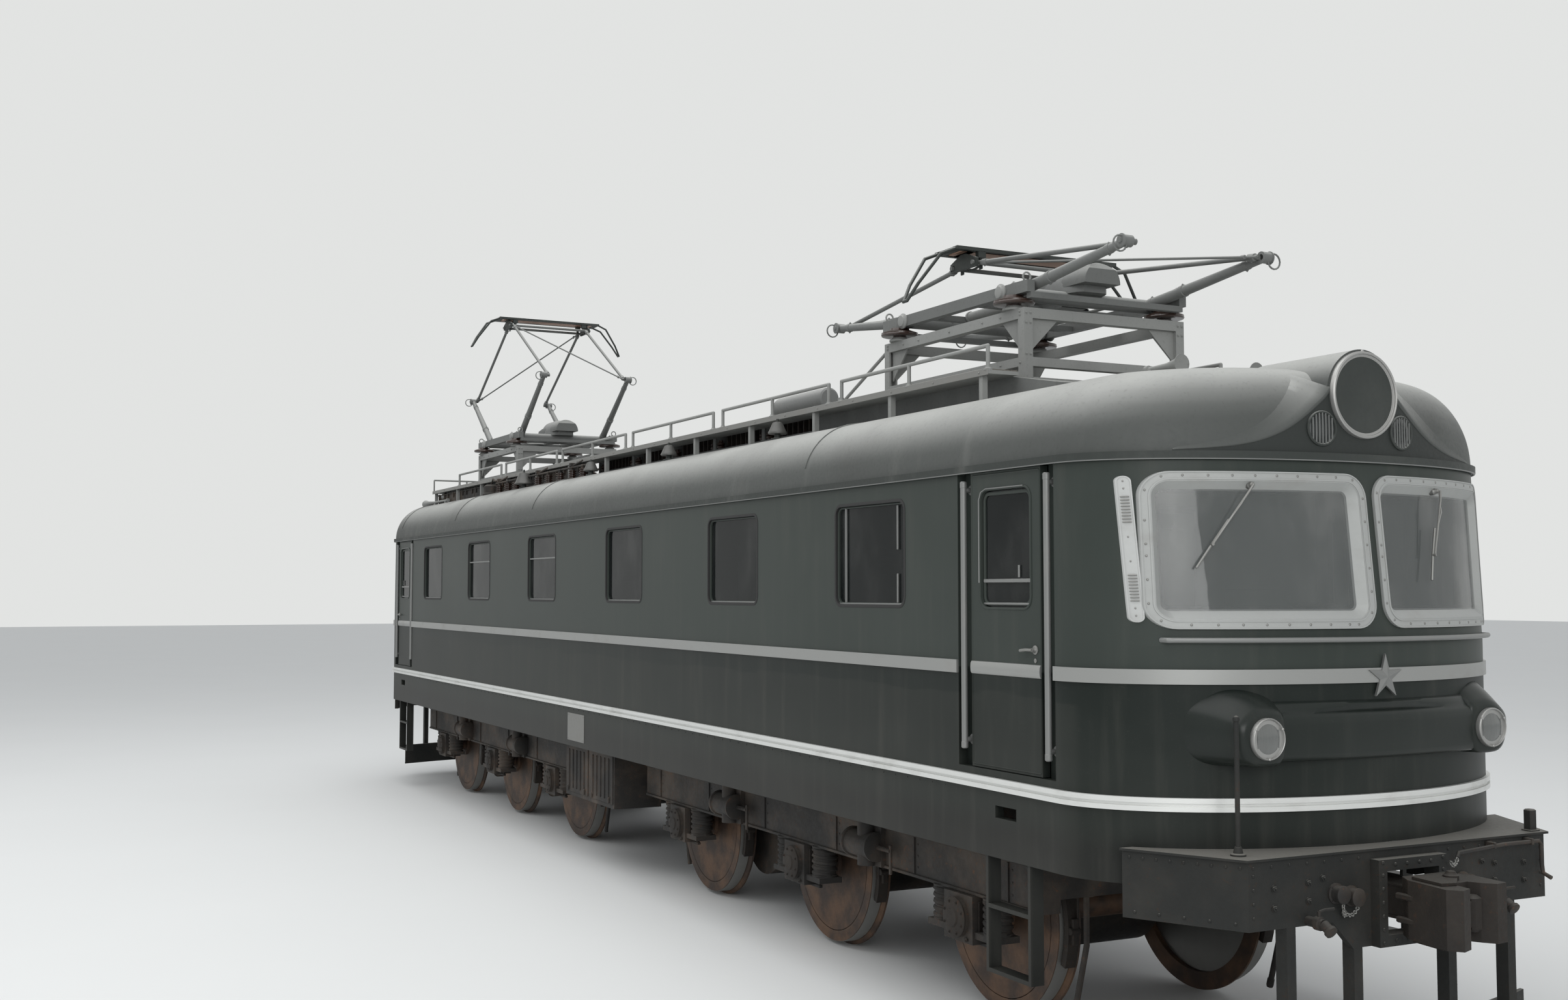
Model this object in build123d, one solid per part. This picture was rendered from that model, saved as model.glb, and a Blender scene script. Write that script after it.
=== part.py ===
from build123d import *
import os
from math import asin, cos, radians, sin, sqrt

os.makedirs("parts", exist_ok=True)

# Electric locomotive on two three-axle bogies, in millimetres.
# +X is the leading end, +Y its left side, heights are above the rail head.
# Every piece is lifted by the flange depth when it is written, so that the flange tips stand at z = 0.

# Overall sizes
length_over_couplers = 18920
body_half_width = 1500
straight_half_length = 7906
nose_depth = 885
nose_depth_at_gutter = 784
wall = 60
beyond = 2000

# Heights of the body
skirt_bottom = 1150
ledge_top = 1345
rake_start = 2400
gutter_height = 3400
gutter_depth = 40
gutter_overhang = 28
crown_height = 3990
shoulder_radius = 480
roof_skin = 50

# Floor and underframe
floor_top = 1640
floor_thickness = 80
sole_bar_bottom = 1200
sole_bar_y = 1150
sole_bar_width = 100
cross_member_bottom = 1320
cross_member_width = 160
pivot_pin_radius = 120
running_clearance = 0.3
seat_gap = 0.3
jacking_pad_x = 6700
jacking_pad_y = 1310
jacking_pad_size = 180
jacking_pad_bottom = 1180

# Doors
door_centre = 7393
doorway_half_width = 487
leaf_half_width = 356
leaf_thickness = 50
leaf_inset = 10
leaf_gap = 5
jamb_inset = 60
jamb_thickness = 40
door_sill = 1650
hinge_radius = 12
hinge_offset = 14
hinge_pin_radius = 5
hinge_length = 50
hinge_heights = (1850, 3150)
door_window_half_width = 258
door_window_bottom = 2590
door_window_top = 3290
handrail_offset = 422
handrail_radius = 19
handrail_foot = 30
handrail_bottom = 1774
handrail_top = 3330

# Cab and machine room
bulkhead_thickness = 40
desk_depth = 360
desk_back_x = straight_half_length + 294
desk_front_x = desk_back_x + desk_depth
desk_half_width = 1120
desk_top = 2440
desk_hump = 30
desk_nosing = 70
desk_gap = 5
seat_x = 7800
seat_y = 680
seat_half_width = 200
seat_height = 2060
seat_pad = 90
seat_back = 60
seat_back_top = 2620
seat_post_radius = 60
machine_aisle = 606
machine_half_width = 850
machine_top = 3250
step_x_half = 210
step_inner_y = 1400
step_outer_y = 1490
step_heights = (850, 480)
step_plate = 24
step_hole_height = 1380
step_hole_top = 1450

# Side windows
side_window_centres = (1217, 3622, 5810)
side_window_width = 937
side_window_bottom = 2590
side_window_top = 3280
window_corner = 70
rebate = 20
glass_thickness = 8
glass_clearance = 0.3

# Windscreens
windscreen_inner_y = 75
windscreen_outer_y = 1240
windscreen_bottom = 2535
windscreen_top = 3285
windscreen_frame_width = 45
windscreen_frame_proud = 14
windscreen_frame_lap = 8
windscreen_corner = 90

# Bright mouldings: bottom height, top height, how far they stand proud
moulding_bands = ((2200, 2278, 16), (1537, 1564, 24), (1564, 1581, 10), (1581, 1608, 24))

# Wheels and axles
rail_gauge_back_to_back = 1440
wheel_radius = 625
flange_depth = 28
flange_thickness = 33
tread_width = 140
rim_depth = 90
web_thickness = 40
hub_radius = 150
hub_width = 200
axle_radius = 95
journal_radius = 80
journal_end = 1130

# Bogies
bogie_centre = 4100
axle_spacing = 2300
bogie_frame_y = 1080
bogie_frame_width = 130
bogie_end_overhang = 850
bogie_frame_half_length = axle_spacing + bogie_end_overhang
bogie_frame_bottom = 780
bogie_frame_top = 1060
bogie_top = 1150
transom_offset = 1150
transom_width = 300
cheek_margin = 10
headstock_width = 120
headstock_depth = 200
centre_beam_half_width = 300
centre_beam_depth = 130
bearer_radius = 90
bearer_post_radius = 70
motor_radius = 380
motor_half_length = 600
motor_height = 600
motor_offset = 560

# Axle boxes and their springs
axlebox_width = 330
axlebox_height = 300
axlebox_inner_y = 985
axlebox_outer_y = 1190
axlebox_cover_radius = 125
axlebox_cover_depth = 30
spring_offset = 290
spring_radius = 85
spring_seat_width = 190
spring_seat_thickness = 40

# Between the bogies
battery_end_gap = 250
battery_inner_y = 900
battery_outer_y = 1380
battery_bottom = 620
reservoir_end_gap = 300
reservoir_height = 900
reservoir_y = 450
reservoir_radius = 220
reservoir_strap = 40
reservoir_hanger_half_width = 60
reservoir_hanger_inset = 250

# Buffer beam, coupler and rail guard
beam_reach = 1004
beam_front = straight_half_length + beam_reach
beam_half_width = 1085
beam_back = beam_front - 596
beam_back_half_width = 1399
beam_bottom = 985
beam_plate = 40
ledge_lip = 18
ledge_plate = 12
centre_half_width = 520
centre_slant = 140
pole_inset = 120
pole_x = beam_front - pole_inset
pole_y = 1037
pole_top = 2040
pole_radius = 13
coupler_height = 1060
coupler_pivot = beam_front - 460
coupler_pin_radius = 35
coupler_pin_overhang = 20
coupler_head_length = 430
coupler_head_half_height = 150
coupler_neck_half_width = 150
coupler_cheek = 210
coupler_claw = 255
coupler_mouth = 110
shank_half_width = 80
shank_half_height = 90
pocket_half_width = 190
pocket_bottom = 900
pocket_top = 1230
pocket_collar = 60
guard_bottom = 150
guard_top = 420
guard_half_width = 1150
guard_x = beam_front - 210
guard_plate = 24
guard_stand_off = 60
strut_margin = 25
strut_half_width = 30

# Lamps
lamp_y = 828
lamp_height = 1926
lamp_radius = 110
lamp_stand_out = 9
lamp_face_x = straight_half_length + nose_depth + lamp_stand_out
lamp_depth = 20
lamp_ring = 10
main_lamp_ring = 30
fairing_length = 340
fairing_root_x = lamp_face_x - lamp_depth - fairing_length
fairing_root = [(307, 67), (262, 182), (103, 324), (-133, 325)]
fairing_root += [(-188, 224), (-188, -136), (-28, -151), (272, -151)]
fairing_face = [(147, 24), (122, 84), (42, 129), (-68, 129)]
fairing_face += [(-138, 114), (-138, -126), (-28, -141), (112, -126)]
fairing_reach = 740
fairing_fall = 130
fairing_rise = 122
fairing_crest = 180
fairing_middle = 50
fairing_corner = 10
fairing_lip = 6
main_lamp_height = 3770
main_lamp_radius = 233
main_lamp_face_x = straight_half_length + nose_depth_at_gutter
hood_rim = 22
hood_waist_angle = 20
hood_foot_half_width = 900
hood_toe = 8
hood_toe_inset = 6
hood_depth = 690
hood_back_x = main_lamp_face_x - hood_depth
hood_recess = 25
hood_edge = 20

# Roof equipment
monitor_half_width = 760
monitor_top = 4180
monitor_front = 6900
monitor_shoulder = 6000
monitor_toe = 60
louvre_front = 3700
louvre_rear = -1500
bay_count = 5
bay_post = 60
bay_sill = 45
bay_head = 40
bay_depth = 420
walkway_top = 4125
walkway_width = 240
walkway_thickness = 25
walkway_front = 6500
walkway_rear = -7850
walkway_posts = 13
walkway_post = 40
walkway_post_inset = 100
hoop_top = 4300
hoop_length = 1985
hoop_pitch = 2190
hoop_count = 6
hoop_radius = 14
hoop_inset = 20
insulator_row_y = 450
insulator_row_front = -1900
insulator_row_pitch = 700
insulator_row_count = 7
bell_radius = 80
bell_top_radius = 35
bell_height = 140
busbar_radius = 14

# Pantographs
pantograph_centre = 5530
rear_pantograph_setback = 170
stand_half_length = 880
stand_y = 640
stand_leg = 70
stand_web = 14
stand_rail = 60
base_height = 4710
stand_gap = 140
stand_top = base_height - stand_gap
gusset_reach = 220
gusset_thickness = 12
insulator_x = 750
insulator_radius = 138
insulator_neck = 50
insulator_foot = 72
insulator_disc = 58
insulator_edge = 12
base_depth = 80
base_member = 60
base_end = 60
base_cross_x = 300
base_cross_drop = 38
base_cross_width = 50
hood_rear_x = 120
hood_front_x = 884
hood_half_width = 150
hood_bottom = base_height + base_depth
hood_top = hood_bottom + 150
hood_crest_x = 560
hood_lip = 50
drive_half_width = 105
drive_rear_x = 230
drive_front_x = 560
lower_pivot_x = 644
lower_arm_length = 1200
upper_arm_length = 1711
head_pivot_x = 136
lowered_angle = 6.2
raised_angle = 35.5
lower_arm_y = 560
lower_arm_radius = 42
lower_arm_tip_radius = 28
upper_arm_y = 505
upper_tube_radius = 17
brace_radius = 9
shaft_radius = 50
stub_radius = 25
knuckle_sleeve_radius = 38
knuckle_pin_radius = 20
head_pin_radius = 16
head_height = 105
head_eye_drift = 5
head_eye_play = 2
head_eye_half_height = 19
knuckle_sleeve_half_length = 35
pin_overhang = 15
shaft_end_gap = 15
head_half_length = 700
head_plate_y = 545
head_plate_half_thickness = 12
head_eye_margin = 30
strip_offset = 120
strip_width = 60
strip_depth = 24
horn_half_length = 1050
horn_drop = 415
horn_radius = 12
horn_sink = 13
horn_tip_gap = 22


def save(shape, name):
    lifted = shape.moved(Location((0, 0, flange_depth)))
    lifted.label = name
    export_step(lifted, f"parts/{name}.step")


def block(x0, x1, y0, y1, z0, z1):
    size = (abs(x1 - x0), abs(y1 - y0), abs(z1 - z0))
    middle = ((x0 + x1) / 2, (y0 + y1) / 2, (z0 + z1) / 2)
    return Pos(*middle) * Box(*size)


def rod(start, end, radius, end_radius=None):
    start, end = Vector(*start), Vector(*end)
    run = end - start
    plane = Plane(origin=start, z_dir=run)
    if end_radius is None:
        return plane * Cylinder(radius, run.length, align=(Align.CENTER, Align.CENTER, Align.MIN))
    return plane * Cone(radius, end_radius, run.length, align=(Align.CENTER, Align.CENTER, Align.MIN))


def prism(points, z0, z1):
    return extrude(Pos(0, 0, z0) * make_face(Polyline(*points, close=True)), z1 - z0)


def side_prism(points, y0, y1):
    """A shape drawn in x and z, made solid from y0 to y1."""
    face = make_face(Polyline(*[(x, 0, z) for x, z in points], close=True))
    return extrude(Pos(0, y0, 0) * face, y1 - y0, dir=(0, 1, 0))


def end_prism(points, x0, x1):
    """A shape drawn in y and z, made solid from x0 to x1."""
    face = make_face(Polyline(*[(0, y, z) for y, z in points], close=True))
    return extrude(Pos(x0, 0, 0) * face, x1 - x0, dir=(1, 0, 0))


def mirrored_x(shape):
    return mirror(shape, Plane.YZ)


def mirrored_y(shape):
    return mirror(shape, Plane.XZ)


def both_ends(shape):
    return [shape, mirrored_x(shape)]


def four_ways(shape):
    return both_ends(shape) + both_ends(mirrored_y(shape))


def group(shapes):
    solids = []
    for shape in shapes:
        solids += shape.solids()
    return Compound(solids)


def fused(shapes):
    first, *rest = shapes
    return first.fuse(*rest).clean()


# The body's plan is straight along the sides and half an ellipse at each end.
def plan_face(depth, grow, height):
    x0, a, b = straight_half_length, depth + grow, body_half_width + grow
    front = EllipticalCenterArc((x0, 0), a, b, start_angle=270, arc_size=180)
    rear = EllipticalCenterArc((-x0, 0), a, b, start_angle=90, arc_size=180)
    left = Line((x0, b), (-x0, b))
    right = Line((-x0, -b), (x0, -b))
    return Pos(0, 0, height) * make_face([front, left, rear, right])


def lower_body(grow, z0, z1):
    return extrude(plan_face(nose_depth, grow, z0), z1 - z0)


def nose_section(depth, grow, height):
    x0, a, b = straight_half_length, depth + grow, body_half_width + grow
    arc = EllipticalCenterArc((x0, 0), a, b, start_angle=270, arc_size=180)
    back = x0 - 200
    lines = Polyline((x0, b), (back, b), (back, -b), (x0, -b))
    return Pos(0, 0, height) * make_face([arc, lines])


def nose(grow, z0, z1):
    """The leading end from the straight sides forward: upright up to the rake, then leaning back."""
    low = extrude(nose_section(nose_depth, grow, z0), rake_start - z0)
    slope = (nose_depth - nose_depth_at_gutter) / (gutter_height - rake_start)
    top_depth = nose_depth - slope * (z1 - rake_start)
    high = loft([nose_section(nose_depth, grow, rake_start), nose_section(top_depth, grow, z1)], ruled=True)
    return low + high


def windscreen_prism(grow, side):
    y0, y1 = windscreen_inner_y - grow, windscreen_outer_y + grow
    z0, z1 = windscreen_bottom - grow, windscreen_top + grow
    sketch = RectangleRounded(y1 - y0, z1 - z0, windscreen_corner + grow)
    middle = (straight_half_length, side * (y0 + y1) / 2, (z0 + z1) / 2)
    plane = Plane(origin=middle, z_dir=(1, 0, 0), x_dir=(0, 1, 0))
    return extrude(plane * sketch, beyond)


def make_cab_shell():
    back = door_centre + doorway_half_width
    shell = nose(0, skirt_bottom, gutter_height) - nose(-wall, skirt_bottom - 1, gutter_height + 1)
    front = straight_half_length + beyond
    shell &= block(straight_half_length, front, -beyond, beyond, skirt_bottom, gutter_height)
    for side in (1, -1):
        outer, inner = side * body_half_width, side * (body_half_width - wall)
        shell += block(back, straight_half_length, outer, inner, skirt_bottom, gutter_height)
        jamb_out = outer - side * jamb_inset
        jamb_in = jamb_out - side * jamb_thickness
        leaf_end = door_centre + leaf_half_width + leaf_gap
        shell += block(leaf_end, back + wall, jamb_out, jamb_in, floor_top, gutter_height)
        shell -= windscreen_prism(0, side)
    gap = pocket_half_width + pocket_collar / 2
    return shell - block(beam_back, beam_front, -gap, gap, skirt_bottom - 1, ledge_top)


def make_windscreen_frames():
    pieces = []
    low, high = ledge_top, gutter_height
    skin = nose(windscreen_frame_proud, low, high) - nose(seat_gap, low - 1, high + 1)
    for side in (1, -1):
        ring = windscreen_prism(windscreen_frame_width, side) - windscreen_prism(-windscreen_frame_lap, side)
        pieces.append(skin & ring)
    return pieces


def make_windscreen_glass():
    deep = -wall / 2
    low, high = ledge_top, gutter_height
    skin = nose(deep, low, high) - nose(deep - glass_thickness, low - 1, high + 1)
    return [skin & windscreen_prism(-glass_clearance, side) for side in (1, -1)]


def hinge_side(end, height):
    """The lower leaf of one door hinge with its pin, joined to the jamb."""
    x = door_centre - leaf_half_width + hinge_offset
    y = body_half_width - leaf_inset - leaf_thickness - hinge_offset
    middle, top = height + hinge_length, height + 2 * hinge_length
    half = hinge_radius * 0.6
    leaf_end = door_centre - leaf_half_width - leaf_gap
    hinge = rod((end * x, y, height), (end * x, y, middle), hinge_radius)
    hinge += rod((end * x, y, middle), (end * x, y, top), hinge_pin_radius)
    return hinge + block(end * x, end * (leaf_end - 2 * leaf_gap), y - half, y + half, height, middle)


def door_steps(end):
    """Two treads between two hangers under a door."""
    x0, x1 = end * (door_centre - step_x_half), end * (door_centre + step_x_half)
    half = step_plate / 2
    top = skirt_bottom + 1
    parts = [block(x - half, x + half, step_inner_y, step_outer_y, step_heights[-1], top) for x in (x0, x1)]
    for z in step_heights:
        parts.append(block(x0, x1, step_inner_y, step_outer_y, z, z + step_plate))
    return parts


def make_side_wall():
    """The left wall between the doors, with its windows and their rebates."""
    back, front = door_centre - doorway_half_width, door_centre + doorway_half_width
    leaf_end = door_centre - leaf_half_width - leaf_gap
    outer, inner = body_half_width, body_half_width - wall
    jamb_out = outer - jamb_inset
    jamb_in = jamb_out - jamb_thickness
    panel = block(-back, back, inner, outer, skirt_bottom, gutter_height)
    middle = (side_window_bottom + side_window_top) / 2
    height = side_window_top - side_window_bottom
    for centre in side_window_centres:
        for x in (centre, -centre):
            plane = Plane(origin=(x, 0, middle), z_dir=(0, 1, 0), x_dir=(1, 0, 0))
            opening = extrude(plane * RectangleRounded(side_window_width, height, window_corner), beyond)
            wider = Rectangle(side_window_width + 2 * rebate, height + 2 * rebate)
            panel -= opening
            panel -= extrude(plane * wider, inner + wall / 2)
    half_hole = step_x_half / 2
    for end in (1, -1):
        panel += block(end * (back - wall), end * leaf_end, jamb_out, jamb_in, floor_top, gutter_height)
        panel += block(end * back, end * front, inner, outer, skirt_bottom, door_sill)
        for z in hinge_heights:
            panel += hinge_side(end, z)
        x0, x1 = end * (door_centre - half_hole), end * (door_centre + half_hole)
        panel -= block(x0, x1, inner - 1, outer + 1, step_hole_height, step_hole_top)
        for part in door_steps(end):
            panel += part
    return panel


def make_side_glass():
    y1 = body_half_width - wall / 2
    half = side_window_width / 2 + rebate - glass_clearance
    z0 = side_window_bottom - rebate + glass_clearance
    z1 = side_window_top + rebate - glass_clearance
    panes = []
    for centre in side_window_centres:
        pane = block(centre - half, centre + half, y1 - glass_thickness, y1, z0, z1)
        panes += four_ways(pane)
    return panes


def make_door():
    """The leading left door: a leaf with its window and the moulding that crosses it."""
    outer = body_half_width - leaf_inset
    inner = outer - leaf_thickness
    x0, x1 = door_centre - leaf_half_width, door_centre + leaf_half_width - leaf_gap
    leaf = block(x0, x1, inner, outer, door_sill + leaf_gap, gutter_height - leaf_gap)
    middle = (door_centre, 0, (door_window_bottom + door_window_top) / 2)
    plane = Plane(origin=middle, z_dir=(0, 1, 0), x_dir=(1, 0, 0))
    hole = RectangleRounded(2 * door_window_half_width, door_window_top - door_window_bottom, window_corner)
    leaf -= extrude(plane * hole, beyond)
    x, y = x0 + hinge_offset, inner - hinge_offset
    for height in hinge_heights:
        z0, z1 = height + hinge_length + seat_gap, height + 2 * hinge_length
        leaf += rod((x, y, z0), (x, y, z1), hinge_radius)
        leaf += block(x - hinge_radius / 2, x + hinge_radius / 2, y, inner + 1, z0, z1)
        leaf -= rod((x, y, z0 - 1), (x, y, z1 + 1), hinge_pin_radius + running_clearance)
    return leaf


def make_door_glass():
    outer = body_half_width - leaf_inset
    y = outer - leaf_thickness / 2
    half = door_window_half_width - glass_clearance
    plane = Plane(
        origin=(door_centre, y - glass_thickness / 2, (door_window_bottom + door_window_top) / 2),
        z_dir=(0, 1, 0),
        x_dir=(1, 0, 0),
    )
    height = door_window_top - door_window_bottom - 2 * glass_clearance
    return extrude(plane * RectangleRounded(2 * half, height, window_corner), glass_thickness)


def make_mouldings():
    rings = []
    low_gap = door_centre - doorway_half_width
    high_gap = door_centre + doorway_half_width
    for z0, z1, proud in moulding_bands:
        ring = lower_body(proud, z0, z1) - lower_body(0, z0 - 1, z1 + 1)
        if z0 > door_sill:
            for end in (1, -1):
                ring -= block(end * low_gap, end * high_gap, -beyond, beyond, z0 - 1, z1 + 1)
        rings.append(ring)
    return rings


def roof_arcs(inset):
    """Half of the roof's section in y and z: its outer corner, the joint of its two arcs and its crown."""
    half = body_half_width - inset
    radius = shoulder_radius - inset
    centre_y = body_half_width - shoulder_radius
    spring = gutter_height + gutter_depth
    crown = crown_height - inset
    rise = crown - spring
    crown_radius = (rise**2 + centre_y**2 - radius**2) / (2 * (rise - radius))
    crown_centre = crown - crown_radius
    share = crown_radius / sqrt(centre_y**2 + (spring - crown_centre) ** 2)
    join = (0, centre_y * share, crown_centre + (spring - crown_centre) * share)
    middle = (0, centre_y + radius * cos(radians(45)), spring + radius * sin(radians(45)))
    top_middle_y = join[1] / 2
    top_middle = (0, top_middle_y, crown_centre + sqrt(crown_radius**2 - top_middle_y**2))
    return (0, half, spring), middle, join, top_middle, (0, 0, crown)


def half_roof_face():
    corner, middle, join, top_middle, crown = roof_arcs(0)
    inner_corner, inner_middle, inner_join, inner_top_middle, inner_crown = roof_arcs(roof_skin)
    edges = [
        ThreePointArc(corner, middle, join),
        ThreePointArc(join, top_middle, crown),
        Line(crown, inner_crown),
        ThreePointArc(inner_crown, inner_top_middle, inner_join),
        ThreePointArc(inner_join, inner_middle, inner_corner),
        Line(inner_corner, corner),
    ]
    return make_face(edges)


def half_roof_solid_face():
    corner, middle, join, top_middle, crown = roof_arcs(0)
    foot = (0, 0, corner[2])
    edges = [ThreePointArc(corner, middle, join), ThreePointArc(join, top_middle, crown), Line(crown, foot)]
    return make_face(edges + [Line(foot, corner)])


def end_dome(face):
    """Half of the section turned about an upright line and drawn in to the depth of the nose."""
    turned = revolve(mirror(face, Plane.XZ), Axis.Z, 180)
    narrow = scale(turned, by=(nose_depth_at_gutter / body_half_width, 1, 1))
    return Pos(straight_half_length, 0, 0) * narrow


def make_roof():
    face = half_roof_face()
    half = extrude(Pos(-straight_half_length, 0, 0) * face, 2 * straight_half_length, dir=(1, 0, 0))
    dome = end_dome(face)
    hood = lamp_hood() - end_dome(half_roof_solid_face())
    front = dome.fuse(hood)
    return fused([half, mirrored_y(half), front, mirrored_x(front)])


def make_gutter():
    """The rail all round on which the roof is seated; it stands proud of the walls as a drip edge."""
    edge = extrude(plan_face(nose_depth_at_gutter, gutter_overhang, gutter_height), gutter_depth - seat_gap)
    return edge - extrude(plan_face(nose_depth_at_gutter, -roof_skin, gutter_height - 1), gutter_depth + 2)


def hood_outline(inset):
    """The bell's outline in y and z: round the main lamp, then in a hollow curve out to thin feet."""
    foot = gutter_height + gutter_depth + inset
    side = main_lamp_radius + hood_rim - min(inset, hood_rim)
    shoulder_y = side * cos(radians(hood_waist_angle))
    shoulder_z = main_lamp_height - side * sin(radians(hood_waist_angle))
    toe_y = hood_foot_half_width - inset * hood_toe_inset
    toe_z = foot + hood_toe
    run, rise = toe_y - shoulder_y, shoulder_z - toe_z
    radius = (run**2 + rise**2) / (2 * rise)
    half_turn = asin(run / radius) / 2
    bend_y, bend_z = toe_y - radius * sin(half_turn), toe_z + radius * (1 - cos(half_turn))
    top = (0, 0, main_lamp_height + side)
    edges = [ThreePointArc((0, -shoulder_y, shoulder_z), top, (0, shoulder_y, shoulder_z))]
    edges.append(Line((0, -toe_y, foot), (0, toe_y, foot)))
    for end in (1, -1):
        toe = (0, end * toe_y, toe_z)
        edges.append(Line((0, end * toe_y, foot), toe))
        edges.append(ThreePointArc(toe, (0, end * bend_y, bend_z), (0, end * shoulder_y, shoulder_z)))
    return make_face(edges)


def lamp_hood():
    """The forehead of the main lamp: it follows the end's plan and its face is let in behind an edge."""
    z0, z1 = gutter_height + gutter_depth, main_lamp_height + main_lamp_radius + 2 * hood_rim
    length = 2 * nose_depth
    bell = extrude(Pos(hood_back_x, 0, 0) * hood_outline(0), length, dir=(1, 0, 0))
    bell &= extrude(nose_section(nose_depth_at_gutter, 0, z0), z1 - z0)
    face = extrude(Pos(hood_back_x, 0, 0) * hood_outline(hood_edge), length, dir=(1, 0, 0))
    face -= extrude(nose_section(nose_depth_at_gutter, -hood_recess, z0 - 1), z1 - z0 + 2)
    start, end = (hood_back_x, 0, main_lamp_height), (main_lamp_face_x, 0, main_lamp_height)
    return (bell - face) + rod(start, end, main_lamp_radius + hood_rim / 2)


# Underframe: floor, two channel sole bars, cross members, pivot pins and jacking pads
def make_underframe():
    inner = -wall - seat_gap
    floor = lower_body(inner, floor_top - floor_thickness, floor_top)
    under = floor_top - floor_thickness
    pieces = [floor]
    web = sole_bar_width * 0.2
    y0, y1 = sole_bar_y, sole_bar_y + sole_bar_width
    low, high = sole_bar_bottom, sole_bar_bottom + web
    channel = [(y0, low), (y1, low), (y1, high), (y0 + web, high), (y0 + web, under), (y0, under)]
    bar = end_prism(channel, -beam_back, beam_back)
    pieces += [bar, mirrored_y(bar)]
    for x in (bogie_centre, jacking_pad_x, bogie_centre / 3):
        member = block(x - cross_member_width, x + cross_member_width, -y0, y0, cross_member_bottom, under)
        pieces += both_ends(member)
    x, z0, z1 = bogie_centre, cross_member_bottom, bogie_top - centre_beam_depth
    pieces += both_ends(rod((x, 0, z0), (x, 0, z1), pivot_pin_radius))
    half = jacking_pad_size / 2
    x0, x1 = jacking_pad_x - half, jacking_pad_x + half
    pieces += four_ways(block(x0, x1, y1 - web / 2, jacking_pad_y + half, jacking_pad_bottom, under))
    for offset in (-transom_offset, transom_offset):
        x, y = bogie_centre + offset, y0 + sole_bar_width / 2
        bearer = rod((x, y, sole_bar_bottom), (x, y, bogie_top + seat_gap), bearer_radius)
        pieces += four_ways(bearer)
    half = pocket_half_width
    draw_top = ledge_top - beam_plate - seat_gap
    draw_front = beam_front - beam_plate - seat_gap
    draw_gear = block(coupler_pivot - half, draw_front, -half, half, pocket_top, draw_top)
    draw_gear += block(coupler_pivot - half, coupler_pivot + half / 2, -half, half, pocket_top, under)
    pin_end = coupler_height - shank_half_height - coupler_pin_overhang
    draw_gear += rod((coupler_pivot, 0, pocket_top), (coupler_pivot, 0, pin_end), coupler_pin_radius)
    pieces += both_ends(draw_gear)
    return fused(pieces)


# Wheels and axle of one wheelset, turned about the axle
def make_wheelset():
    inner_face = rail_gauge_back_to_back / 2
    outer_face = inner_face + tread_width
    middle = (inner_face + outer_face) / 2
    hub_in, hub_out = middle - hub_width / 2, middle + hub_width / 2
    web_in, web_out = middle - web_thickness / 2, middle + web_thickness / 2
    rim_inside = wheel_radius - rim_depth
    tip = wheel_radius + flange_depth
    outline = [
        (0, 0),
        (0, axle_radius),
        (hub_in, axle_radius),
        (hub_in, hub_radius),
        (web_in, hub_radius),
        (web_in, rim_inside),
        (inner_face, rim_inside),
        (inner_face, tip),
        (inner_face + flange_thickness / 2, tip),
        (inner_face + flange_thickness, wheel_radius),
        (outer_face, wheel_radius - tread_width / 20),
        (outer_face, rim_inside),
        (web_out, rim_inside),
        (web_out, hub_radius),
        (hub_out, hub_radius),
        (hub_out, journal_radius),
        (journal_end, journal_radius),
        (journal_end, 0),
    ]
    face = make_face(Polyline(*[(0, y, r) for y, r in outline], close=True))
    half = revolve(face, Axis.Y, 360)
    return Pos(0, 0, wheel_radius) * half.fuse(mirrored_y(half)).clean()


# Bogie frame with its traction motors, about its own centre
def make_bogie_frame():
    y0 = bogie_frame_y - bogie_frame_width / 2
    y1 = y0 + bogie_frame_width
    low, high = bogie_frame_bottom, bogie_frame_top
    pieces = []
    for side in (1, -1):
        length = bogie_frame_half_length
        post_y = side * (sole_bar_y + sole_bar_width / 2)
        cheek = transom_width / 2 + cheek_margin
        cheek_y = side * (y1 + bearer_post_radius / 2)
        pieces.append(block(-length, length, side * y0, side * y1, low, high))
        for x in (-transom_offset, transom_offset):
            pieces.append(rod((x, post_y, low), (x, post_y, bogie_top), bearer_post_radius))
            pieces.append(block(x - cheek, x + cheek, side * y0, cheek_y, low, high))
    for x in (-transom_offset, transom_offset):
        half = transom_width / 2
        pieces.append(block(x - half, x + half, -y0, y0, bogie_top - transom_width, bogie_top))
    for end in (1, -1):
        x1 = end * bogie_frame_half_length
        x0 = x1 - end * headstock_width
        pieces.append(block(x0, x1, -y0, y0, bogie_frame_top - headstock_depth, bogie_frame_top))
    beam_end = transom_offset - transom_width / 2
    half = centre_beam_half_width
    beam = block(-beam_end, beam_end, -half, half, bogie_top - centre_beam_depth, bogie_top)
    pieces.append(beam)
    bracket, motor_top = motor_radius / 2, motor_height + motor_radius * 0.8
    places = ((axle_spacing - motor_offset, 1), (-motor_offset, -1), (motor_offset - axle_spacing, -1))
    for x, side in places:
        start, end = (x, -motor_half_length, motor_height), (x, motor_half_length, motor_height)
        pieces.append(rod(start, end, motor_radius))
        outward = 1 if abs(x) > transom_offset else -1
        edge = side * (transom_offset + outward * transom_width / 2)
        pieces.append(block(edge, x, -bracket, bracket, bogie_top - transom_width, motor_top))
    frame = fused(pieces)
    return frame - rod((0, 0, bogie_top + 1), (0, 0, 0), pivot_pin_radius + running_clearance)


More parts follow.
